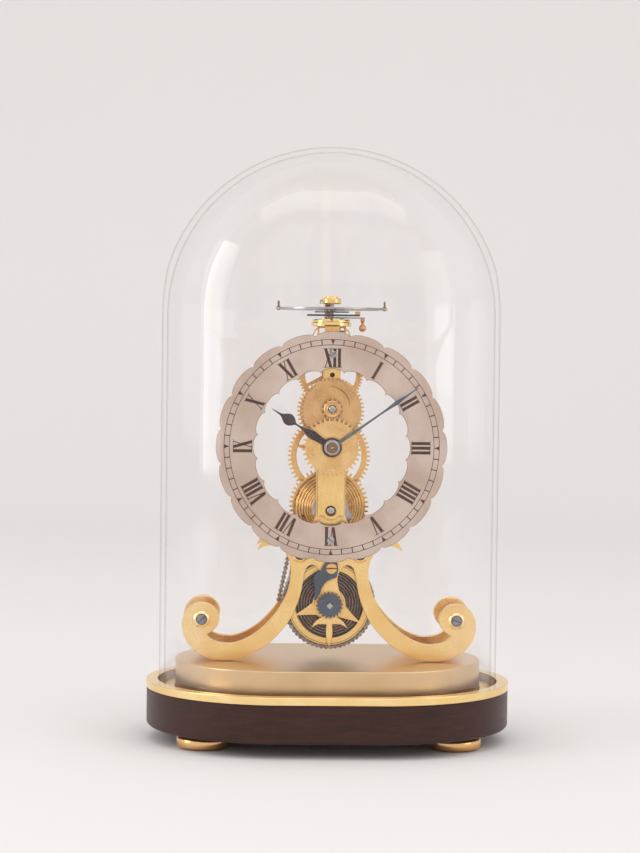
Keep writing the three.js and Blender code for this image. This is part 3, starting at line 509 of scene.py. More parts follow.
RIM_BRASS = metal("rim_brass", (0.93, 0.66, 0.28), (0.99, 0.77, 0.40), (0.16, 0.26), 0.3, (8, 8, 1))
FOOT_BRASS = metal("foot_brass", (0.80, 0.47, 0.20), (0.90, 0.60, 0.30), (0.16, 0.28), 0.4)
SATIN_BRASS = metal("satin_brass", (0.68, 0.475, 0.25), (0.74, 0.535, 0.31), (0.28, 0.34), 0.12, (10, 10, 1),
                    depth=0.002, crevice_shade=0.15)
STEEL = metal("steel", (0.34, 0.33, 0.33), (0.54, 0.53, 0.52), (0.14, 0.26), 0.2)
BLUED = metal("blued", (0.070, 0.088, 0.115), (0.125, 0.150, 0.185), (0.2, 0.34), 0.2, crevice_shade=0.2)
SCREW_BLUE = metal("screw_blue", (0.14, 0.155, 0.19), (0.24, 0.26, 0.30), (0.2, 0.34), 0.2)
HAND_BLUE = metal("hand_blue", (0.09, 0.115, 0.13), (0.165, 0.20, 0.215), (0.22, 0.34), 0.2)
HAND_PLUM = metal("hand_plum", (0.050, 0.034, 0.042), (0.095, 0.065, 0.075), (0.24, 0.36), 0.2)
SPRING = metal("spring_steel", (0.045, 0.018, 0.010), (0.115, 0.048, 0.026), (0.3, 0.44), 0.2, cloud=5)
# painted glints: a light steel for a thin strip between the mainspring's coils, for the light caught on their
# edges
SPRING_GLINT = metal("painted_spring_glint", (0.26, 0.20, 0.16), (0.62, 0.54, 0.48), (0.24, 0.34), 0.8, cloud=4)
CHAIN = metal("chain_steel", (0.15, 0.11, 0.082), (0.44, 0.36, 0.30), (0.16, 0.3), 0.3, cloud=1.2)
# painted shade: a near-black steel for the narrow chain links that sit between the wide ones
CHAIN_SHADE = metal("chain_painted_shade", (0.020, 0.012, 0.008), (0.05, 0.032, 0.022), (0.2, 0.36), 0.3)
COPPER = metal("copper", (0.60, 0.28, 0.12), (0.74, 0.38, 0.18), (0.18, 0.3), 0.2)
# browned brass for the collet bush and balance pins; the same brown stands as painted shade along the fusee
# groove, round the dial and in the click screw's slot
BROWNED_AND_SHADE = metal("browned_brass_and_painted_shade", (0.24, 0.12, 0.045), (0.40, 0.22, 0.09), (0.2, 0.34), 0.2)
MAHOGANY = wood("mahogany")
SILVERED = silvering("silvered")
GLASS = glass("dome_glass")
# engraving wax for the dial's marks; the same dark also stands as painted shade in screw slots and in the
# front bar's hole
WAX_AND_SHADE = metal("engraving_wax_and_painted_shade", (0.062, 0.026, 0.018), (0.105, 0.050, 0.037), (0.5, 0.65), 0.3,
            metallic=0, crevice_shade=0)


# ---------- base and dome ----------

OVAL_SEGMENTS = 176
BASE_END, BASE_STRAIGHT = 59, 20.5
PLINTH_LOW, PLINTH_TOP, RIM_TOP, PLATFORM_TOP = 6.16, 22.6, 26.0, 35.3
PLATFORM_END, PLATFORM_STRAIGHT = 46.5, 20.3
FOOT_X, FOOT_Y = 54, 28
DOME_END, DOME_SHOULDER, DOME_TOP, DOME_WALL = 53.5, 185, 258.7, 2.2


def add_base():
    foot = turned([(0, 0), (9.9, 0), (11, 0.7), (11.4, 2.2), (11.2, 4.1), (10.2, 5.6), (9, 6.1), (0, 6.1)],
                  0.6, upright=True)
    for row, y in (("front", -FOOT_Y), ("rear", FOOT_Y)):
        for side, x in (("left", -FOOT_X), ("right", FOOT_X)):
            fine(f"foot_{row}_{side}", [place(foot, x, y)], FOOT_BRASS)

    edge = BASE_END - 0.2
    body = [(0, PLINTH_LOW), (edge - 1, PLINTH_LOW), (edge, PLINTH_LOW + 1), (edge, PLINTH_TOP),
            (0, PLINTH_TOP)]
    fine("plinth", [oval(soften(body, 0.5, closed=False), BASE_STRAIGHT)], MAHOGANY)

    inner = BASE_END - 5.2
    seat = PLINTH_TOP + GAP
    band = soften([(inner, seat), (BASE_END, seat), (BASE_END, RIM_TOP), (inner, RIM_TOP)], 0.4, steps=4)
    fine("plinth_rim", [oval(band + band[:1], BASE_STRAIGHT)], RIM_BRASS)

    tray = ring(PLATFORM_END + 0.1, inner + 0.1, seat, seat + 0.2, OVAL_SEGMENTS, upright=True, ease=0.02)
    piece("plinth_rim_tray", [oval_of(tray, BASE_STRAIGHT)], "frame", RIM_BRASS)

    shelf = soften([(0, seat), (PLATFORM_END, seat), (PLATFORM_END, PLATFORM_TOP), (0, PLATFORM_TOP)], 0.8,
                   closed=False, steps=5)
    fine("brass_platform", [oval(shelf, PLATFORM_STRAIGHT)], SATIN_BRASS)


def dome_profile(inset):
    """One skin of the glass, from its lower edge up over the shoulder to the crown."""
    radius, rise = DOME_END - inset, DOME_TOP - inset - DOME_SHOULDER
    crown = [(radius * cos(i * pi / 64), DOME_SHOULDER + rise * sin(i * pi / 64)) for i in range(32)]
    return [(radius, PLINTH_TOP + 0.3)] + crown + [(0, DOME_SHOULDER + rise)]


def add_dome():
    profile = dome_profile(DOME_WALL)[::-1] + dome_profile(0)
    hollow = DOME_END - DOME_WALL
    shell = oval(profile, BASE_STRAIGHT, share=lambda radius: min(1, radius / hollow))
    fine("glass_dome", [shell], GLASS, sharp=50)


# ---------- frame ----------

def plate_outline():
    spear = smooth([(0, 41.6), (1, 44.4), (1.5, 48.2), (1.2, 51.4)])
    leaf = smooth([(1.2, 51.4), (4.6, 51.5), (7.9, 49.9)]) + smooth([(7.9, 49.9), (6.1, 52.7),
                                                                     (3.3, 54.6)])[1:]
    boss = arc(6.35, radians(-42), radians(20), 16, 0, BARREL_Z)
    bay = smooth([(5.6, 63.2), (4.2, 66.3), (3.4, 70), (3.8, 73.4), (5.5, 76.3), (7.5, 77.3), (9.6, 76.5),
                  (10.9, 74), (11.6, 69.6), (12.7, 64), (14.8, 58.1), (18.1, 51.9), (22.4, 46.6),
                  (27.1, 42.3), (32.8, 38.8), (38.9, 36.3), (45.2, 35.36), (51.3, 36.2), (56.3, 38.4),
                  (60.2, 41.6), (62.9, 46), (63.8, 51.3), (62.5, 56.3), (59.3, 59.6), (54.7, 60.7),
                  (50.2, 58.9), (47.6, 54.6), (48.9, 49.9), (53, 46.6)])
    over = smooth([(53, 46.6), (51, 44.6), (47, 43.3), (42, 43.1), (36.8, 44.7), (31.6, 47.8), (27.1, 51.8),
                   (23, 56.7), (20.3, 61.3), (18.4, 65.7), (17.2, 70.3), (16.8, 73.8), (17.1, 77.2),
                   (18.1, 80.4), (19.6, 83.4)])
    horn = smooth([(20.4, 84.8), (24, 85.7), (28, 85.3), (31.6, 83.5)])
    horn += smooth([(31.6, 83.5), (29.4, 87.2), (25.6, 89.6), (20.5, 91)])[1:]
    spine = [(12, 92.6), (7.6, 95.4), (6.3, 99), (6.3, 150), (3.7, 154), (3.7, 169), (5.4, 170.6)]
    ear = arc(2.3, -QUARTER, QUARTER, 12, TOP_X, TOP_Z)
    return mirrored(spear + leaf[1:] + boss + bay + over[1:] + horn + spine + ear + [(0, 175.2)])


def bored(holes):
    return [circle(radius, 0, z, 32) for radius, z in holes]


WAIST_X, WAIST_Z, WAIST_SCREW_Z = 13, 85, 82
TOP_X, TOP_Z = 9.2, 172.9
FACING = {-1: Matrix.Identity(4), 1: Matrix.Rotation(pi, 4, "Z")}   # forward, rearward


def screw_and_collar(name, x, z, face, angle, ward=-1, replaces=()):
    """A blued slotted screw in a brass collar, on a face that looks along ward * Y."""
    head, collar = 2.1, 3.6
    profile = [(0, -0.3), (head + 0.15, -0.3), (head + 0.3, -0.95), (head + 0.6, -0.95), (collar, -0.3),
               (collar, 0), (0, 0)]
    piece(f"{name}_collar", [place(turned(profile, 0.12), x, face + GAP * ward, z, FACING[ward])], "frame",
          RIM_BRASS, replaces=replaces)
    parts = [place(part, x, face + 0.44 * ward, z, FACING[ward])
             for part in slotted_head(head, 0.9, 0.55, angle)]
    piece(f"{name}_head", parts[1:], "frame", SCREW_BLUE)
    # painted shade: the disc under the slot is dark wax, for the shadow in the slot
    piece(f"{name}_slot", parts[:1], "frame", WAX_AND_SHADE)


def add_plates():
    pivots = [(0.8, SECOND_Z), (0.8, THIRD_Z), (0.8, CONTRATE_Z)]
    front_holes = bored(pivots + [(0.8, FUSEE_Z), (1.9, BARREL_Z), (1.1, HANDS_Z)])
    back_holes = bored(pivots + [(1.6, FUSEE_Z), (1.3, BARREL_Z)])
    outline = plate_outline()
    fine("front_plate", [flat([outline] + front_holes, FRONT_FACE, FRONT_REAR, 0.3)], PLATE_BRASS)
    fine("back_plate", [flat([outline] + back_holes, BACK_FRONT, BACK_FACE, 0.3)], PLATE_BRASS)
    add_pillars()


def add_pillars():
    start, end = FRONT_REAR + GAP, BACK_FRONT - GAP

    def pillar(wide, slim):
        profile = [(0, start), (wide, start), (wide, start + 1.4), (wide * 0.78, start + 2),
                   (slim, start + 3.6), (slim * 1.12, 0.5), (slim, end - 3.6), (wide * 0.78, end - 2),
                   (wide, end - 1.4), (wide, end), (0, end)]
        return turned(profile, 0.35)

    for side, sign in (("left", -1), ("right", 1)):
        for kind, x, z, wide, slim in (("scroll", SCROLL_X, SCROLL_Z, 4.2, 2.6),
                                       ("waist", WAIST_X, WAIST_Z, 3.2, 2), ("top", TOP_X, TOP_Z, 1.6, 1.1)):
            fine(f"{kind}_pillar_{side}", [place(pillar(wide, slim), sign * x)], PLATE_BRASS, z)
        slot_angle = radians(-45 if sign < 0 else 20)
        screw_and_collar(f"scroll_screw_{side}", sign * SCROLL_X, SCROLL_Z, FRONT_FACE, slot_angle,
                         replaces=[f"scroll_screw_{side}"])
        screw_and_collar(f"waist_screw_{side}", sign * WAIST_X, WAIST_SCREW_Z, FRONT_FACE, sign * 0.9)
        screw_and_collar(f"rear_scroll_screw_{side}", sign * SCROLL_X, SCROLL_Z, BACK_FACE, sign * 0.5,
                         ward=1)
        screw_and_collar(f"rear_waist_screw_{side}", sign * WAIST_X, WAIST_Z, BACK_FACE, sign * 1.1, ward=1)
        for row, face, ward in (("front", FRONT_FACE, -1), ("rear", BACK_FACE, 1)):
            parts = [place(part, sign * TOP_X, face + 0.02 * ward, 0, FACING[ward])
                     for part in slotted_head(1.3, 0.5, 0.35, 0.6 * sign)]
            piece(f"top_screw_{row}_{side}", parts, "frame", STEEL, TOP_Z)


# ---------- dial ----------

MARK_FRONT, MARK_BACK = DIAL_FRONT - 0.03, DIAL_FRONT + 0.05
TRACK_INNER, TRACK_OUTER = 44.0, 46.3
NUMERAL_LOW, NUMERAL_HIGH = 34.4, 42.3
THICK_STROKE, HAIR = 1.3, 0.4
DIAL_SCREW_AT = 40                  # above and below the hands
STROKE_STEP, LETTER_WIDTH = 2.0, 3.7
HOURS = ["XII", "I", "II", "III", "IIII", "V", "VI", "VII", "VIII", "IX", "X", "XI"]


def stroke(top, bottom, width):
    """A slanting or upright bar, cut level at both ends, between two places along the numeral."""
    return [(top - width / 2, NUMERAL_HIGH), (top + width / 2, NUMERAL_HIGH),
            (bottom + width / 2, NUMERAL_LOW), (bottom - width / 2, NUMERAL_LOW)]


def serif(middle, height, half=1.05):
    return [(middle - half, height + HAIR / 3), (middle + half, height + HAIR / 3),
            (middle + half, height - HAIR / 3), (middle - half, height - HAIR / 3)]


def numeral(letters):
    """Bars of one Roman numeral that stands upright at twelve."""
    widths = [STROKE_STEP if letter == "I" else LETTER_WIDTH for letter in letters]
    bars, left = [], -sum(widths) / 2
    for letter, width in zip(letters, widths):
        right, middle = left + width, left + width / 2
        if letter == "I":
            bars += [stroke(middle, middle, THICK_STROKE), serif(middle, NUMERAL_HIGH),
                     serif(middle, NUMERAL_LOW)]
        elif letter == "V":
            bars += [stroke(left + 0.7, middle, THICK_STROKE), stroke(right - 0.5, middle + 0.3, HAIR),
                     serif(left + 0.7, NUMERAL_HIGH), serif(right - 0.5, NUMERAL_HIGH, 0.8)]
        else:
            bars += [stroke(left + 0.7, right - 0.7, THICK_STROKE), stroke(right - 0.6, left + 0.6, HAIR)]
            bars += [serif(u, v, 0.95) for u in (left + 0.7, right - 0.7)
                     for v in (NUMERAL_HIGH, NUMERAL_LOW)]
        left = right
    return bars


def add_dial():
    holes = [circle(1.1, 0, side * DIAL_SCREW_AT, 24) for side in (1, -1)]
    blank = flat([lobed(47.9, 1.7), lobed(32.3, 1.6)] + holes, DIAL_FRONT, DIAL_FRONT + DIAL_THICK, 0.16)
    fine("dial_ring", [blank], SILVERED, HANDS_Z)
    # painted shade: a browned ring a little wider than the dial at both its edges shows as a thin dark
    # outline round the lobes, for the shading on the dial's bevel
    edge = flat([lobed(48.05, 1.7), lobed(32.15, 1.6)] + holes, DIAL_FRONT + 0.22,
                DIAL_FRONT + DIAL_THICK - 0.1, 0.1)
    piece("dial_edge_painted_shade", [edge], "frame", BROWNED_AND_SHADE, HANDS_Z)

    marks = [ring(r - 0.13, r + 0.13, MARK_FRONT, MARK_BACK, 180, ease=0) for r in (TRACK_INNER, TRACK_OUTER)]
    for minute in range(60):
        if minute % 5:
            bar = [(-0.22, TRACK_OUTER), (0.22, TRACK_OUTER), (0.22, TRACK_INNER), (-0.22, TRACK_INNER)]
        else:
            bar = [(-0.85, TRACK_OUTER), (0.85, TRACK_OUTER), (0, TRACK_INNER)]
        marks.append(prism(moved(bar, turn=tau * minute / 60), MARK_FRONT, MARK_BACK))
    for hour, letters in enumerate(HOURS):
        marks += [prism(moved(bar, turn=tau * hour / 12), MARK_FRONT, MARK_BACK) for bar in numeral(letters)]
    piece("dial_marks", marks, "frame", WAX_AND_SHADE, HANDS_Z, sharp=20)

    for name, side, angle in (("top", 1, -0.52), ("bottom", -1, 0.75)):
        post = turned(stepped(DIAL_THICK + GAP, 1.9, 5.84))
        parts = slotted_head(1.63, 0.75, 0.42, angle) + [post]
        fine(f"dial_screw_{name}", [place(part, 0, DIAL_FRONT) for part in parts], STEEL,
             HANDS_Z + side * DIAL_SCREW_AT)


# ---------- motion work and hands ----------

CANNON_LEAVES, MINUTE_TEETH, MINUTE_LEAVES, HOUR_TEETH, TRANSFER_TEETH = 12, 48, 12, 36, 12
MINUTE_MODULE = 2 * (MINUTE_Z - HANDS_Z) / (CANNON_LEAVES + MINUTE_TEETH)
HOUR_MODULE = 2 * (MINUTE_Z - HANDS_Z) / (MINUTE_LEAVES + HOUR_TEETH)
TRANSFER_MODULE = 2 * (HANDS_Z - SECOND_Z) / (2 * TRANSFER_TEETH)
BAR_SCREW_Z = 100.9


def add_front_bar():
    half = smooth([(0, 97.1), (1.9, 97.6), (3.2, 98.8), (4.4, 99), (5.6, 98.3)])
    half += [(5.6, 148), (5.2, 149.4), (4, 150.6), (3.6, 152), (3.6, 166), (0, 166)]
    holes = [circle(1.1, 0, HANDS_Z, 32), circle(1, 0, CONTRATE_Z, 32), circle(2.35, 0, BAR_SCREW_Z, 40)]
    fine("front_bar", [flat([mirrored(half)] + holes, -18.2, -15.7, 0.25)], PLATE_BRASS)
    screw = turned([(0, -18.5), (1, -18.4), (1.75, -17.9), (1.95, -17.2), (1.95, -15.8), (0, -15.8)], 0.3)
    piece("front_bar_screw", [screw], "frame", STEEL, BAR_SCREW_Z)
    # painted shade: a dark disc just inside the bar's top hole, for the shadow in the hole
    painted_hole_shade = prism(circle(0.98, steps=24), -16.2, -15.9)
    piece("front_bar_hole_shade", [painted_hole_shade], "frame", WAX_AND_SHADE, CONTRATE_Z)


def score_mark():
    """A curved scratch on the minute wheel that runs in towards its centre and tapers at both ends."""
    outer, inner = [], []
    for i in range(25):
        share = i / 24
        angle, middle, half = radians(4 + 96 * share), 7.5 + 2.4 * share, 0.16 * sin(pi * share)
        outer.append(polar(middle + half, angle))
        inner.append(polar(middle - half, angle))
    return outer + inner[-2:0:-1]


def add_motion_work():
    hands_phase = mesh_phase(QUARTER, TRANSFER_TEETH, TRANSFER_TEETH)
    arbor = turned([(0, -26.9), (0.55, -26.9), (0.8, -26.5), (0.8, -10.7), (0, -10.7)], 0.12)
    transfer = flat([gear(TRANSFER_TEETH, TRANSFER_MODULE, hands_phase, tip=0.8)], -11.9, -10.7, 0.04)
    fine("hands_arbor", [arbor, transfer], STEEL, HANDS_Z)

    cannon = flat([gear(CANNON_LEAVES, MINUTE_MODULE, 0, tip=0.8), circle(0.9, steps=24)], -20.2, -18.6, 0.05)
    pipe = ring(0.9, 1.5, -24.2, -20, ease=0.05)
    fine("cannon_pinion", [cannon, pipe], STEEL, HANDS_Z)

    minute_phase = mesh_phase(0, CANNON_LEAVES, MINUTE_TEETH)
    teeth = gear(MINUTE_TEETH, MINUTE_MODULE, minute_phase, tip=1, root=1.3)
    wheel = flat([teeth, hole(1.2)], -19.7, -18.7, 0.06)
    leaves = flat([gear(MINUTE_LEAVES, HOUR_MODULE, 0, tip=0.75), hole(1.2)], -22.15, -19.6, 0.05)
    collar = lathe([(1.2, -22.1), (1.2, -22.6), (2.1, -22.85), (2.4, -22.6), (3.3, -22.8), (3.7, -22.5),
                    (3.7, -22.1), (1.2, -22.1)])
    fine("minute_wheel", [wheel, leaves, collar], MOTION_BRASS, MINUTE_Z)
    piece("minute_wheel_score", [prism(score_mark(), -19.73, -19.68)], "minute_wheel_set", SPRING,
          MINUTE_Z)
    stud = turned([(0, -23.9), (0.9, -23.8), (1.5, -23.4), (1.5, -23.1), (0.9, -23.1), (0.9, -18.26),
                   (0, -18.26)], 0.15)
    fine("minute_wheel_stud", [stud], STEEL, MINUTE_Z)

    hour_phase = mesh_phase(0, MINUTE_LEAVES, HOUR_TEETH, -QUARTER)
    teeth = gear(HOUR_TEETH, HOUR_MODULE, hour_phase, tip=0.9, root=1.3, thick=0.4)
    hour = flat([teeth, hole(1.8)], -21.9, -20.8, 0.06)
    steps = lathe([(1.8, -21.8), (1.8, -22.9), (2.6, -22.9), (2.6, -22.2), (4.6, -22.2), (4.7, -22.05),
                   (5.3, -22.05), (5.4, -21.98), (8.5, -21.98), (8.6, -21.8), (1.8, -21.8)])
    fine("hour_wheel", [hour, steps], HOUR_BRASS, HANDS_Z)


def hand(boss, outline):
    """A hand that points straight up: half widths at distances from its centre, with a round boss."""
    rest = smooth([(half, along) for along, half in outline])
    start = atan2(rest[0][1], rest[0][0])
    foot = arc(boss, -QUARTER, start, 24)
    return mirrored([(max(u, 0), v) for u, v in foot[:-1]] + rest)


def add_hands():
    hour = hand(4.2, [(4, 1.4), (7, 1.5), (10, 1.85), (12.2, 1.5), (14.4, 0.7), (18.2, 0.42), (19.7, 1.5),
                      (21, 2.35), (22.6, 2.5), (24.2, 1.7), (25.6, 0.7), (27, 0.42), (30.6, 0.12)])
    hour_loops = [moved(loop, turn=HOUR_HAND_ANGLE) for loop in (hour, hole(1.8))]
    fine("hour_hand", [flat(hour_loops, -23.7, -23, 0.2)], HAND_PLUM, HANDS_Z)
    minute = hand(2.6, [(2.5, 0.65), (9, 0.72), (13, 0.66), (18, 0.48), (26, 0.4), (31, 0.7), (33.5, 0.9),
                        (36.5, 0.6), (40, 0.34), (45, 0.12)])
    minute_loops = [moved(loop, turn=MINUTE_HAND_ANGLE) for loop in (minute, circle(0.9, steps=24))]
    fine("minute_hand", [flat(minute_loops, -24.9, -24.3, 0.16)], HAND_BLUE, HANDS_Z)
    collet = lathe([(0.9, -25), (0.9, -25.7), (2.2, -25.6), (2.35, -26.1), (3, -26.2), (3.45, -25.7),
                    (3.45, -25), (0.9, -25)])
    fine("hand_collet", [collet], STEEL, HANDS_Z)
    bush = ring(0.86, 2.1, -25.95, -25.5)
    piece("hand_collet_bush", [bush], "minute_hand_set", BROWNED_AND_SHADE, HANDS_Z)


# ---------- barrel, ratchet and click ----------

RATCHET_TEETH = 20
CLICK_X, CLICK_Z = 0.6, 76.1


def add_ratchet():
    loop = toothed(RATCHET_TEETH, ((4.6, 0), (5.95, 0.08), (5.85, 0.2), (5.1, 0.6)))
    reach = 2.4 / sqrt(2)
    square = [(0, reach), (reach, 0), (0, -reach), (-reach, 0)]
    fine("ratchet_wheel", [flat([loop, square], -17.4, -15.8, 0.1)], BLUED, BARREL_Z)

    outline = soften([(-1.5, 78.9), (-2.9, 77.2), (-4.1, 74.9), (-7.3, 72.1), (-6.4, 66.5), (-6.9, 62.2),
                      (-5.9, 62), (-5.3, 63.6), (-4.1, 64.9), (-3.6, 67.2), (-2, 69.9), (0.9, 71.5), (3, 72),
                      (3.5, 75.6), (3, 78.9)], 1)
    fine("click", [flat([outline, circle(1.3, CLICK_X, CLICK_Z, 24)], -17.4, -15.8, 0.15)], BLUED)
    head = [place(part, CLICK_X, -17.56) for part in slotted_head(2.35, 1, 0.5, 0)]
    shank = place(turned(stepped(-17.5, 1, -15.6)), CLICK_X)
    fine("click_screw", head[1:] + [shank], WHEEL_BRASS, CLICK_Z)
    # painted shade: the disc under the slot is browned, for the shadow in the slot
    piece("click_screw_slot", head[:1], "frame", BROWNED_AND_SHADE, CLICK_Z)


def link(width):
    """One chain link lying along X: two round ends with a narrow waist, width along Y."""
    ends = [prism(circle(1, side * 1.005, 0, 14), -width / 2, width / 2) for side in (-1, 1)]
    waist = prism([(-0.8, -0.4), (0.8, -0.4), (0.8, 0.4), (-0.8, 0.4)], 0.02 - width / 2, width / 2 - 0.02)
    return joined(ends + [waist])


def add_barrel():
    square = [(0, 1.55), (1.55, 0), (0, -1.55), (-1.55, 0)]
    shaft = turned(stepped(-15.7, 1.6, -9.8, 4.5, 7, 1.6, 13.1, 1, 15.5))
    fine("barrel_arbor", [shaft, flat([square], -19.6, -15.6, 0.15)], STEEL, BARREL_Z)

    drum = [(1.9, 7.6), (17.1, 7.6), (17.1, -10.3), (18, -10.3), (18, 8.8), (1.9, 8.8), (1.9, 7.6)]
    fine("barrel_drum", [lathe(drum, 128)], BARREL_BRASS, BARREL_Z)

    spike = smooth([(2.8, 6.9), (1.6, 10.4), (0.35, 14.8)], 6)

    def arm_side(angle, side):
        c, s = cos(angle), sin(angle)
        return [(r * c - side * half * s, r * s + side * half * c) for half, r in spike]

    arms = [radians(degrees) for degrees in (-31, 84, 199, 329)]
    windows = []
    for start, end in zip(arms, arms[1:]):
        windows.append(arm_side(start, 1) + arc(14.9, start + 0.04, end - 0.04, 30) + arm_side(end, -1)[::-1]
                       + arc(7.2, end - 0.42, start + 0.42, 10))
    cover = flat([circle(17.9, steps=128), hole(1.9)] + windows, -11.3, -10.36, 0.1)
    fine("barrel_cover", [cover], BARREL_BRASS, BARREL_Z)
    groove = ring(17.2, 17.4, -11.33, -11.28, 128, ease=0)
    piece("barrel_cover_groove", [groove], "barrel", SPRING, BARREL_Z)

    fine("mainspring", [coil(4.9, 16.4, 9.5, 0.8, -9.5, 7.1)], SPRING, BARREL_Z)
    # painted glints: a thin light coil laid between the dark coils, for the light caught on the spring's
    # edges
    piece("mainspring_painted_glint", [coil(5.5, 16.6, 9.2, 0.16, -9.6, 7)], "barrel", SPRING_GLINT,
          BARREL_Z)

    per_turn, turns = 60, 8
    outer, inner = [], []
    for i in range(per_turn * turns):
        angle = tau * i / per_turn
        along = -8.4 + 14 * i / (per_turn * turns)
        pose = Matrix.Rotation(angle, 4, "Y") @ Matrix.Translation((0, along, 19.2))
        (outer if i % 2 else inner).append(place(link(1.6 if i % 2 else 0.8), turn=pose))
    fine("chain_on_barrel", outer, CHAIN, BARREL_Z)
    # painted shade: the narrow links between the wide ones are near-black
    piece("chain_on_barrel_inner", inner, "barrel", CHAIN_SHADE, BARREL_Z)


# ---------- fusee and train ----------

FUSEE_FRONT, FUSEE_BACK, FUSEE_TURNS = -8.8, 6.2, 8
GREAT_TEETH, SECOND_LEAVES = 52, 16
SECOND_TEETH, THIRD_LEAVES = 56, 8
THIRD_TEETH, CONTRATE_LEAVES = 48, 6
CROWN_TEETH, ESCAPE_LEAVES, ESCAPE_TEETH = 60, 7, 15
GREAT_MODULE = 2 * (SECOND_Z - FUSEE_Z) / (GREAT_TEETH + SECOND_LEAVES)
SECOND_MODULE = 2 * (THIRD_Z - SECOND_Z) / (SECOND_TEETH + THIRD_LEAVES)
THIRD_MODULE = 2 * (CONTRATE_Z - THIRD_Z) / (THIRD_TEETH + CONTRATE_LEAVES)


def fusee_cone():
    """The cone with one long spiral groove for the chain."""
    sides, rows = 120, 128
    corners, faces = [], []
    for row in range(rows + 1):
        along = row / rows
        for side in range(sides):
            angle = tau * side / sides
            phase = (along * FUSEE_TURNS - side / sides) % 1
            dip = 0.75 * sin(pi * phase) ** 0.6
            radius = 7.6 + 8 * along**1.3 - dip
            u, v = polar(radius, angle)
            corners.append((u, FUSEE_FRONT + along * (FUSEE_BACK - FUSEE_FRONT), v))
    for row in range(rows):
        for side in range(sides):
            a, b = row * sides + side, row * sides + (side + 1) % sides
            faces.append((a, b, b + sides, a + sides))
    ends = [tuple(range(sides)), tuple(range(rows * sides + sides - 1, rows * sides - 1, -1))]
    return corners, faces + ends


def snail():
    """The fusee's cap: a round plate that swells into a beak on the right."""
    loop = []
    for i in range(120):
        angle = tau * i / 120
        off = (angle + 0.35 + pi) % tau - pi
        swell = 2.6 * exp(-((off / (0.2 if off > 0 else 0.75)) ** 2))
        loop.append(polar(7.8 + swell, angle))
    return loop


def add_fusee():
    fine("fusee_cone", [fusee_cone()], FUSEE_BRASS, FUSEE_Z, sharp=60)
    # painted shade: a thin browned strip that winds along the cone's spiral groove, for the shadow in the
    # groove
    groove = coil(7.2, 15.0, 7.5, 0.34, -8.1, -7.72, steps=96, rise=14.06, bend=1.2)
    piece("fusee_groove_painted_shade", [groove], "fusee", BROWNED_AND_SHADE, FUSEE_Z)
    cap = flat([snail(), hole(1.7)], -9.6, -8.84, 0.15)
    piece("fusee_cap", [cap], "fusee", STEEL, FUSEE_Z)
    great = flat([gear(GREAT_TEETH, GREAT_MODULE, 0, tip=1, root=1.35), hole(1.9)], 6.8, 8.6, 0.06)
    fine("great_wheel", [great], WHEEL_BRASS, FUSEE_Z)
    shaft = turned(stepped(-14.6, 0.5, -12.2, 1.6, 13.1, 1.3, 17))
    square = flat([[(0.95, 0.95), (-0.95, 0.95), (-0.95, -0.95), (0.95, -0.95)]], 16.5, 22, 0.12)
    fine("fusee_arbor", [shaft, square], STEEL, FUSEE_Z)


def add_chain_run():
    """The straight run from the drum's side up towards the fusee, which ends behind the dial."""
    low, high, count = Vector((-21.8, 0.5, 60.5)), Vector((-14.3, 0.5, 96)), 18
    lean = Matrix.Rotation(atan2(high.x - low.x, high.z - low.z) - QUARTER, 4, "Y")
    fine("chain_run", [place(link(1.5 if i % 2 else 0.8), *low.lerp(high, (i + 0.5) / count), turn=lean)
                       for i in range(count)], CHAIN)


def pinion_arbor(leaves, module, front, back, driver_teeth):
    """A shaft with pivots in both plates, and its pinion, which is driven by the wheel below."""
    shaft = turned(stepped(-13.8, 0.5, -12.1, 0.9, 13.1, 0.5, 14.8), 0.1, 32)
    phase = mesh_phase(0, driver_teeth, leaves)
    return [shaft, flat([gear(leaves, module, phase, tip=0.75, thick=0.36)], front, back, 0.04)]


def add_train():
    transfer = flat([gear(TRANSFER_TEETH, TRANSFER_MODULE, QUARTER, tip=0.8)], -11.9, -10.7, 0.04)
    second = pinion_arbor(SECOND_LEAVES, GREAT_MODULE, 6.4, 9, GREAT_TEETH)
    fine("second_arbor", second + [transfer], STEEL, SECOND_Z)
    fine("third_arbor", pinion_arbor(THIRD_LEAVES, SECOND_MODULE, 9.8, 12.3, SECOND_TEETH), STEEL, THIRD_Z)
    contrate = pinion_arbor(CONTRATE_LEAVES, THIRD_MODULE, -4.4, -1.9, THIRD_TEETH)
    fine("contrate_arbor", contrate, STEEL, CONTRATE_Z)

    bore = circle(1, steps=24)
    loops = [gear(SECOND_TEETH, SECOND_MODULE, 0, tip=1, root=1.35), bore] + crossings(4, 14.4, radians(162))
    fine("second_wheel", [flat(loops, 10.6, 11.5, 0.06)], WHEEL_BRASS, SECOND_Z)
    loops = [gear(THIRD_TEETH, THIRD_MODULE, 0, tip=1, root=1.3), bore] + crossings(3.4, 12, radians(90))
    fine("third_wheel", [flat(loops, -3.6, -2.7, 0.06)], WHEEL_BRASS, THIRD_Z)

    loops = [circle(13.3, steps=120), bore] + crossings(3, 11.2, radians(85), hub_half=1.2)
    disc = flat(loops, 2.6, 3.4, 0.06)
    teeth = gear(CROWN_TEETH, 28.4 / CROWN_TEETH, QUARTER + pi / CROWN_TEETH, tip=0, root=2.3, thick=0.5)
    crown = flat([teeth, circle(12.6, steps=120)], 3.3, 4.85, 0.05)
    fine("contrate_wheel", [disc, crown], WHEEL_BRASS, CONTRATE_Z)


# ---------- escapement and balance ----------

STAND_Y, ESCAPE_Y, PALLET = 1, 6, (3.8, 3.4)
PIN_RADIUS = 23.2


def block(x0, x1, y0, y1, z0, z1, ease=0.25):
    return flat([[(x0, y0), (x1, y0), (x1, y1), (x0, y1)]], z0, z1, ease, level=True)


def turned_up(profile, ease=0.12, segments=48):
    return turned(profile, ease, segments, upright=True)


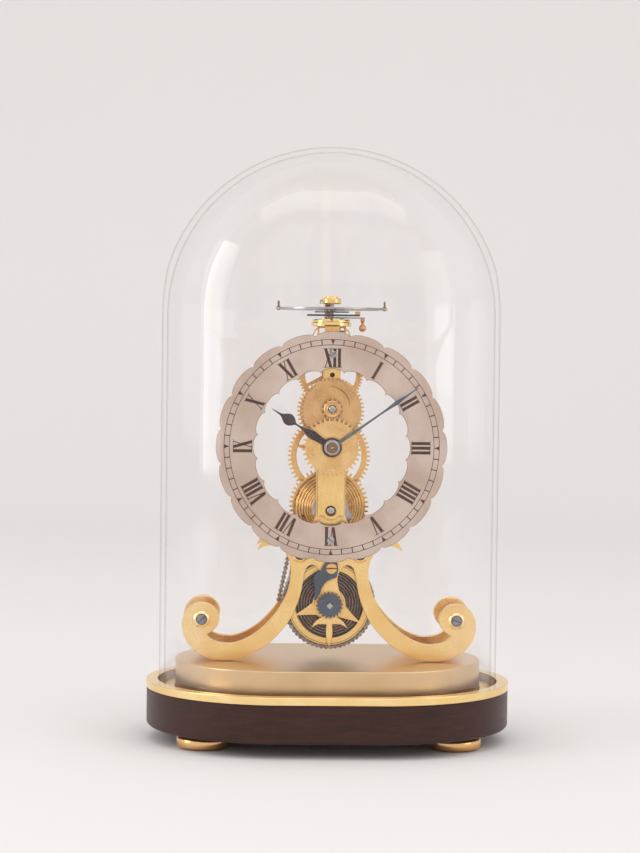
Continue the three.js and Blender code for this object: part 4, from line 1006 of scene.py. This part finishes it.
def add_escapement_frame():
    shelf = lathe([(2, 180.5), (8.2, 180.5), (8.8, 180.9), (8.8, 182.1), (8.3, 182.5), (8.3, 183.2),
                   (7.9, 183.7), (6.4, 183.7), (6.2, 183.4), (2, 183.4), (2, 180.5)], 96, upright=True)
    fine("escapement_platform", [place(shelf, 0, STAND_Y)], RIM_BRASS)
    head = turned_up([(0, 183.35), (0.75, 183.35), (0.75, 184), (0, 184.02)], 0.1, 24)
    heads = []
    for angle in (0.9, 2.5, 3.9, 5.4):
        x, y = polar(7.1, angle)
        heads.append(place(head, x, STAND_Y + y, -0.02))
    piece("escapement_platform_screws", heads, "frame", STEEL)

    disc = turned_up([(0, 174.9), (7, 174.9), (7.4, 175.2), (7.4, 175.7), (7.1, 176), (0, 176)], 0.1, 72)
    post = turned_up([(0, 175.9), (0.55, 175.9), (0.55, 177), (0.4, 177.5), (0.4, 179.4), (0.55, 179.9),
                      (0.55, 180.44), (0, 180.44)])
    posts = [place(post, x, y) for x, y in ((-5.7, 0), (5.9, -0.6))]
    fine("escapement_bridge", [place(disc, 0, 1.6)] + posts, WHEEL_BRASS)

    head = block(-3.3, 3.3, FRONT_REAR + GAP, -8.1, 181, 182.7)
    waist = block(-2.8, 2.8, FRONT_REAR + 0.8, -8.1, 180.4, 181.1)
    lower = block(-3.1, 3.1, FRONT_REAR + GAP, -8.1, 170, 180.6)
    tongue = block(-3.1, 3.1, -8.3, -3.5, 178.6, 180.44)
    # painted light and shade: the bracket's head is in the brighter rim brass and its lower part in the
    # darker wheel brass
    fine("platform_bracket", [waist, lower, tongue], WHEEL_BRASS)
    piece("platform_bracket_head", [head], "frame", RIM_BRASS)

    right = smooth([(5.2, 179.9), (6.9, 178.8), (7.85, 176.8), (8.1, 174.7)])
    right += smooth([(8.6, 174.7), (8.3, 177), (7.3, 179.2), (5.5, 180.4)])
    outline = right + [(-u, v) for u, v in reversed(right)]
    fine("platform_stay", [flat([outline], -3.1, -2.25, 0.1)], PLATE_BRASS)


def add_balance_cock():
    back = BACK_FACE + GAP
    inside = smooth([(back + 2.2, 172), (22, 177.5), (26.4, 181.5), (27.4, 186), (26.6, 190.2), (24.2, 192.1),
                     (3, 192.1)])
    outside = smooth([(3, 193.3), (24.4, 193.3), (28.8, 191), (29.8, 186), (28.4, 180.4), (23.5, 175.5),
                      (back + 2.2, 167)])
    arm = flat([inside + outside + [(back, 165), (back, 175)]], -2.1, 2.1, 0.3)
    boss = turned_up([(0.9, 190.4), (3.9, 190.4), (4.2, 190.8), (4.2, 192.6), (3.9, 192.9), (3, 192.9),
                      (2.9, 193.6), (0.9, 193.7)], 0.12, 72)
    cap = turned_up(stepped(193.5, 1, 193.9), 0.1, 32)
    fine("balance_cock", [place(arm, turn=Matrix.Rotation(QUARTER, 4, "Z")), boss, cap], PLATE_BRASS)
    stud = [tube_between((-3.2, -0.6, 192.2), (-4.9, -0.8, 192), 0.32),
            tube_between((-4.8, -0.8, 192.15), (-5, -0.8, 190.4), 0.3)]
    piece("hairspring_stud", stud, "frame", STEEL)


def add_escapement():
    loop = toothed(ESCAPE_TEETH, ((2.55, 0.02), (2.9, 0.1), (3.4, 0.12), (3.36, 0.24), (2.75, 0.4),
                                  (2.55, 0.62)))
    wheel = flat([loop] + crossings(0.9, 2.1, 0.3, hub_half=0.25, rim_half=0.2, corner=0.15), 177.4, 177.9,
                 0.03, level=True)
    leaves = gear(ESCAPE_LEAVES, 3 / ESCAPE_LEAVES, -QUARTER, tip=0.75, root=1.2, thick=0.3)
    pinion = flat([leaves], 172.9, 174.6, 0.02, level=True)
    shaft = turned_up(stepped(171.2, 0.5, 183.2), 0.08, 24)
    fine("escape_wheel", [place(part, 0, ESCAPE_Y) for part in (wheel, pinion, shaft)], STEEL)

    outline = soften([(0.9, -0.6), (1.5, -3.7), (0.5, -3.3), (0, -3.6), (-0.5, -3.3), (-1.5, -3.7),
                      (-0.9, -0.6), (-2.7, 0.3), (-2.9, 1.6), (-2.1, 1.6), (-1.6, 0.8), (0, 0.7),
                      (1.6, 0.8), (2.1, 1.6), (2.9, 1.6), (2.7, 0.3)], 0.3)
    lean = atan2(PALLET[1], PALLET[0]) - QUARTER
    lever = place(flat([outline], 178.2, 178.9, 0.06, level=True), *PALLET,
                  turn=Matrix.Rotation(lean, 4, "Z"))
    staff = place(turned_up(stepped(175.2, 0.4, 183.2), 0.06, 24), *PALLET)
    fine("pallet_lever", [lever, staff], STEEL)


def add_balance():
    windows = crossings(2.6, 21.8, pi / 6, hub_half=1.1, rim_half=1.1, corner=2)
    wheel = flat([circle(24.5, steps=160), circle(0.7, steps=24)] + windows, 187.8, 188.8, 0.2, level=True)
    fine("balance_wheel", [wheel], STEEL)
    pin = turned_up([(0, 187.5), (0.75, 187.5), (0.75, 187.8), (0.42, 187.9), (0.42, 188.8), (0.8, 188.85),
                     (0.8, 189.3), (0.42, 189.5), (0.5, 191.2), (0.3, 191.7), (0, 191.7)], 0.1, 24)
    piece("balance_pins", [place(pin, side * PIN_RADIUS) for side in (-1, 1)], "balance", BROWNED_AND_SHADE)

    staff = turned_up(stepped(175.2, 0.6, 179.3, 1.5, 179.9, 0.6, 186.6, 1.6, 187.7, 0.6, 190.9), 0.08)
    jewel_pin = place(turned_up(stepped(179.05, 0.22, 179.6), 0.03, 12), 0.95, 0.85)
    fine("balance_staff", [staff, jewel_pin], STEEL)
    fine("hairspring", [coil(2.2, 7.7, 9, 0.13, 186.7, 187.2, upright=True)], BLUED)

    index = soften([(1.2, -5.4), (8, -3.4), (12.4, -2.9), (12.4, -0.9), (8, -0.6), (5.4, 1.6), (2.4, 4.6),
                    (-2.4, 4.6), (-5.4, 1.8), (-10.8, 0.5), (-10.8, -1.2), (-5.6, -3.2)], 1)
    fine("regulator_index", [flat([index, hole(1.9)], 185.1, 185.9, 0.12, level=True)], BLUED)
    piece("regulator_block", [block(10.2, 12.5, -2.9, -0.9, 185.85, 187.3, 0.18)], "regulator", WHEEL_BRASS)
    arm = soften([(-1.6, -3.2), (3, -3.1), (14.6, -2.6), (14.6, -0.4), (3.2, 1.5), (0, 3.4), (-3, 1.6),
                  (-3.3, -1)], 0.9)
    drop = smooth([(0.02, 178.3), (0.9, 178.6), (1.5, 179.3), (1.6, 180), (1.3, 180.9), (0.75, 181.4),
                   (0.65, 182.2), (0.95, 183.2), (0.95, 184.2)], 5)
    handle = place(lathe([(0, 178.3)] + drop + [(0, 184.2)], 40, upright=True), 13.6, -1.5)
    fine("regulator_handle", [handle], COPPER)
    arm = flat([arm, hole(1.9)], 184.1, 184.7, 0.12, level=True)
    piece("regulator_handle_arm", [arm], "regulator", STEEL)


# ---------- stage, light and camera, in metres ----------

def plain(name, color, rough):
    """A matt surface with a faint, wide unevenness."""
    surface = Surface(name)
    tone = surface.blend(surface.span(surface.noise(900), 0, 1), color, tuple(0.985 * c for c in color))
    surface.set(Base_Color=tone, Roughness=rough)
    return surface.material


def add_stage():
    """A pale floor that sweeps up into a backdrop."""
    width, front, foot, sweep, height = 6.0, -3.0, 1.1, 0.7, 3.0
    line = [(front, 0.0), (foot, 0.0)]
    line += [(foot + sweep * sin(i * pi / 24), sweep * (1 - cos(i * pi / 24))) for i in range(1, 13)]
    line.append((foot + sweep, height))
    corners = [(x, y, z - 0.0002) for y, z in line for x in (-width / 2, width / 2)]
    faces = [(2 * i, 2 * i + 1, 2 * i + 3, 2 * i + 2) for i in range(len(line) - 1)]
    mesh = bpy.data.meshes.new("backdrop")
    mesh.from_pydata(corners, [], faces)
    mesh.shade_smooth()
    mesh.materials.append(plain("paper", (0.83, 0.814, 0.812), 0.9))
    sheet = bpy.data.objects.new("backdrop", mesh)
    show(sheet)


LIGHT_COLOR = (1, 0.98, 0.965)
LIGHTS_AIM = (0, 0, 0.12)


def area(name, place_at, size, power):
    """A soft rectangular light aimed at the middle of the clock."""
    light = bpy.data.lights.new(name, "AREA")
    light.shape = "RECTANGLE"
    light.size, light.size_y = size
    light.energy = power
    light.color = LIGHT_COLOR
    lamp = bpy.data.objects.new(name, light)
    lamp.location = place_at
    lamp.rotation_mode = "QUATERNION"
    lamp.rotation_quaternion = (Vector(LIGHTS_AIM) - Vector(place_at)).to_track_quat("-Z", "Y")
    show(lamp)


def add_lights():
    area("window", (-1.1, -0.34, 0.5), (0.5, 0.95), 3)
    area("fill", (1.1, -0.7, 0.55), (0.7, 0.9), 1.8)
    area("overhead", (0, -0.45, 1.35), (1.3, 0.4), 1.7)
    area("front", (0.2, -1.35, 1.1), (2.0, 1.0), 3.2)

    world = bpy.data.worlds.new("room")
    bpy.context.scene.world = world
    room = Nodes(world)
    way = room.node("ShaderNodeTexCoord", {}).outputs["Generated"]
    along_y = room.node("ShaderNodeSeparateXYZ", {0: way}).outputs["Y"]
    behind = room.span(along_y, 0, 1, -1, -0.2)
    background = room.tree.nodes["Background"]
    room.feed(background.inputs["Color"], room.blend(behind, (0.79, 0.75, 0.72), (0.82, 0.80, 0.795)))
    background.inputs["Strength"].default_value = 1.12


SENSOR = 36                         # along the long side
LENS = 98.76
CAMERA_AT = (-0.0376, -1.025, 0.1738)
PITCH, YAW, ROLL = radians(2.07), radians(1.85), radians(0.66)


def add_camera():
    data = bpy.data.cameras.new("camera")
    data.lens = LENS
    data.sensor_width = SENSOR
    data.clip_start, data.clip_end = 0.05, 30
    camera = bpy.data.objects.new("camera", data)
    forward = Vector((sin(YAW) * cos(PITCH), cos(YAW) * cos(PITCH), -sin(PITCH)))
    right = forward.cross(Vector((0, 0, 1))).normalized()
    up = right.cross(forward)
    side = right * cos(ROLL) + up * sin(ROLL)
    top = up * cos(ROLL) - right * sin(ROLL)
    camera.matrix_world = Matrix.Translation(CAMERA_AT) @ Matrix((side, top, -forward)).transposed().to_4x4()
    show(camera)
    bpy.context.scene.camera = camera


add_base()
add_dome()
add_plates()
add_dial()
add_front_bar()
add_motion_work()
add_hands()
add_ratchet()
add_barrel()
add_fusee()
add_chain_run()
add_train()
add_escapement_frame()
add_balance_cock()
add_escapement()
add_balance()
add_stage()
add_lights()
add_camera()
bpy.context.scene.view_settings.view_transform = "Standard"
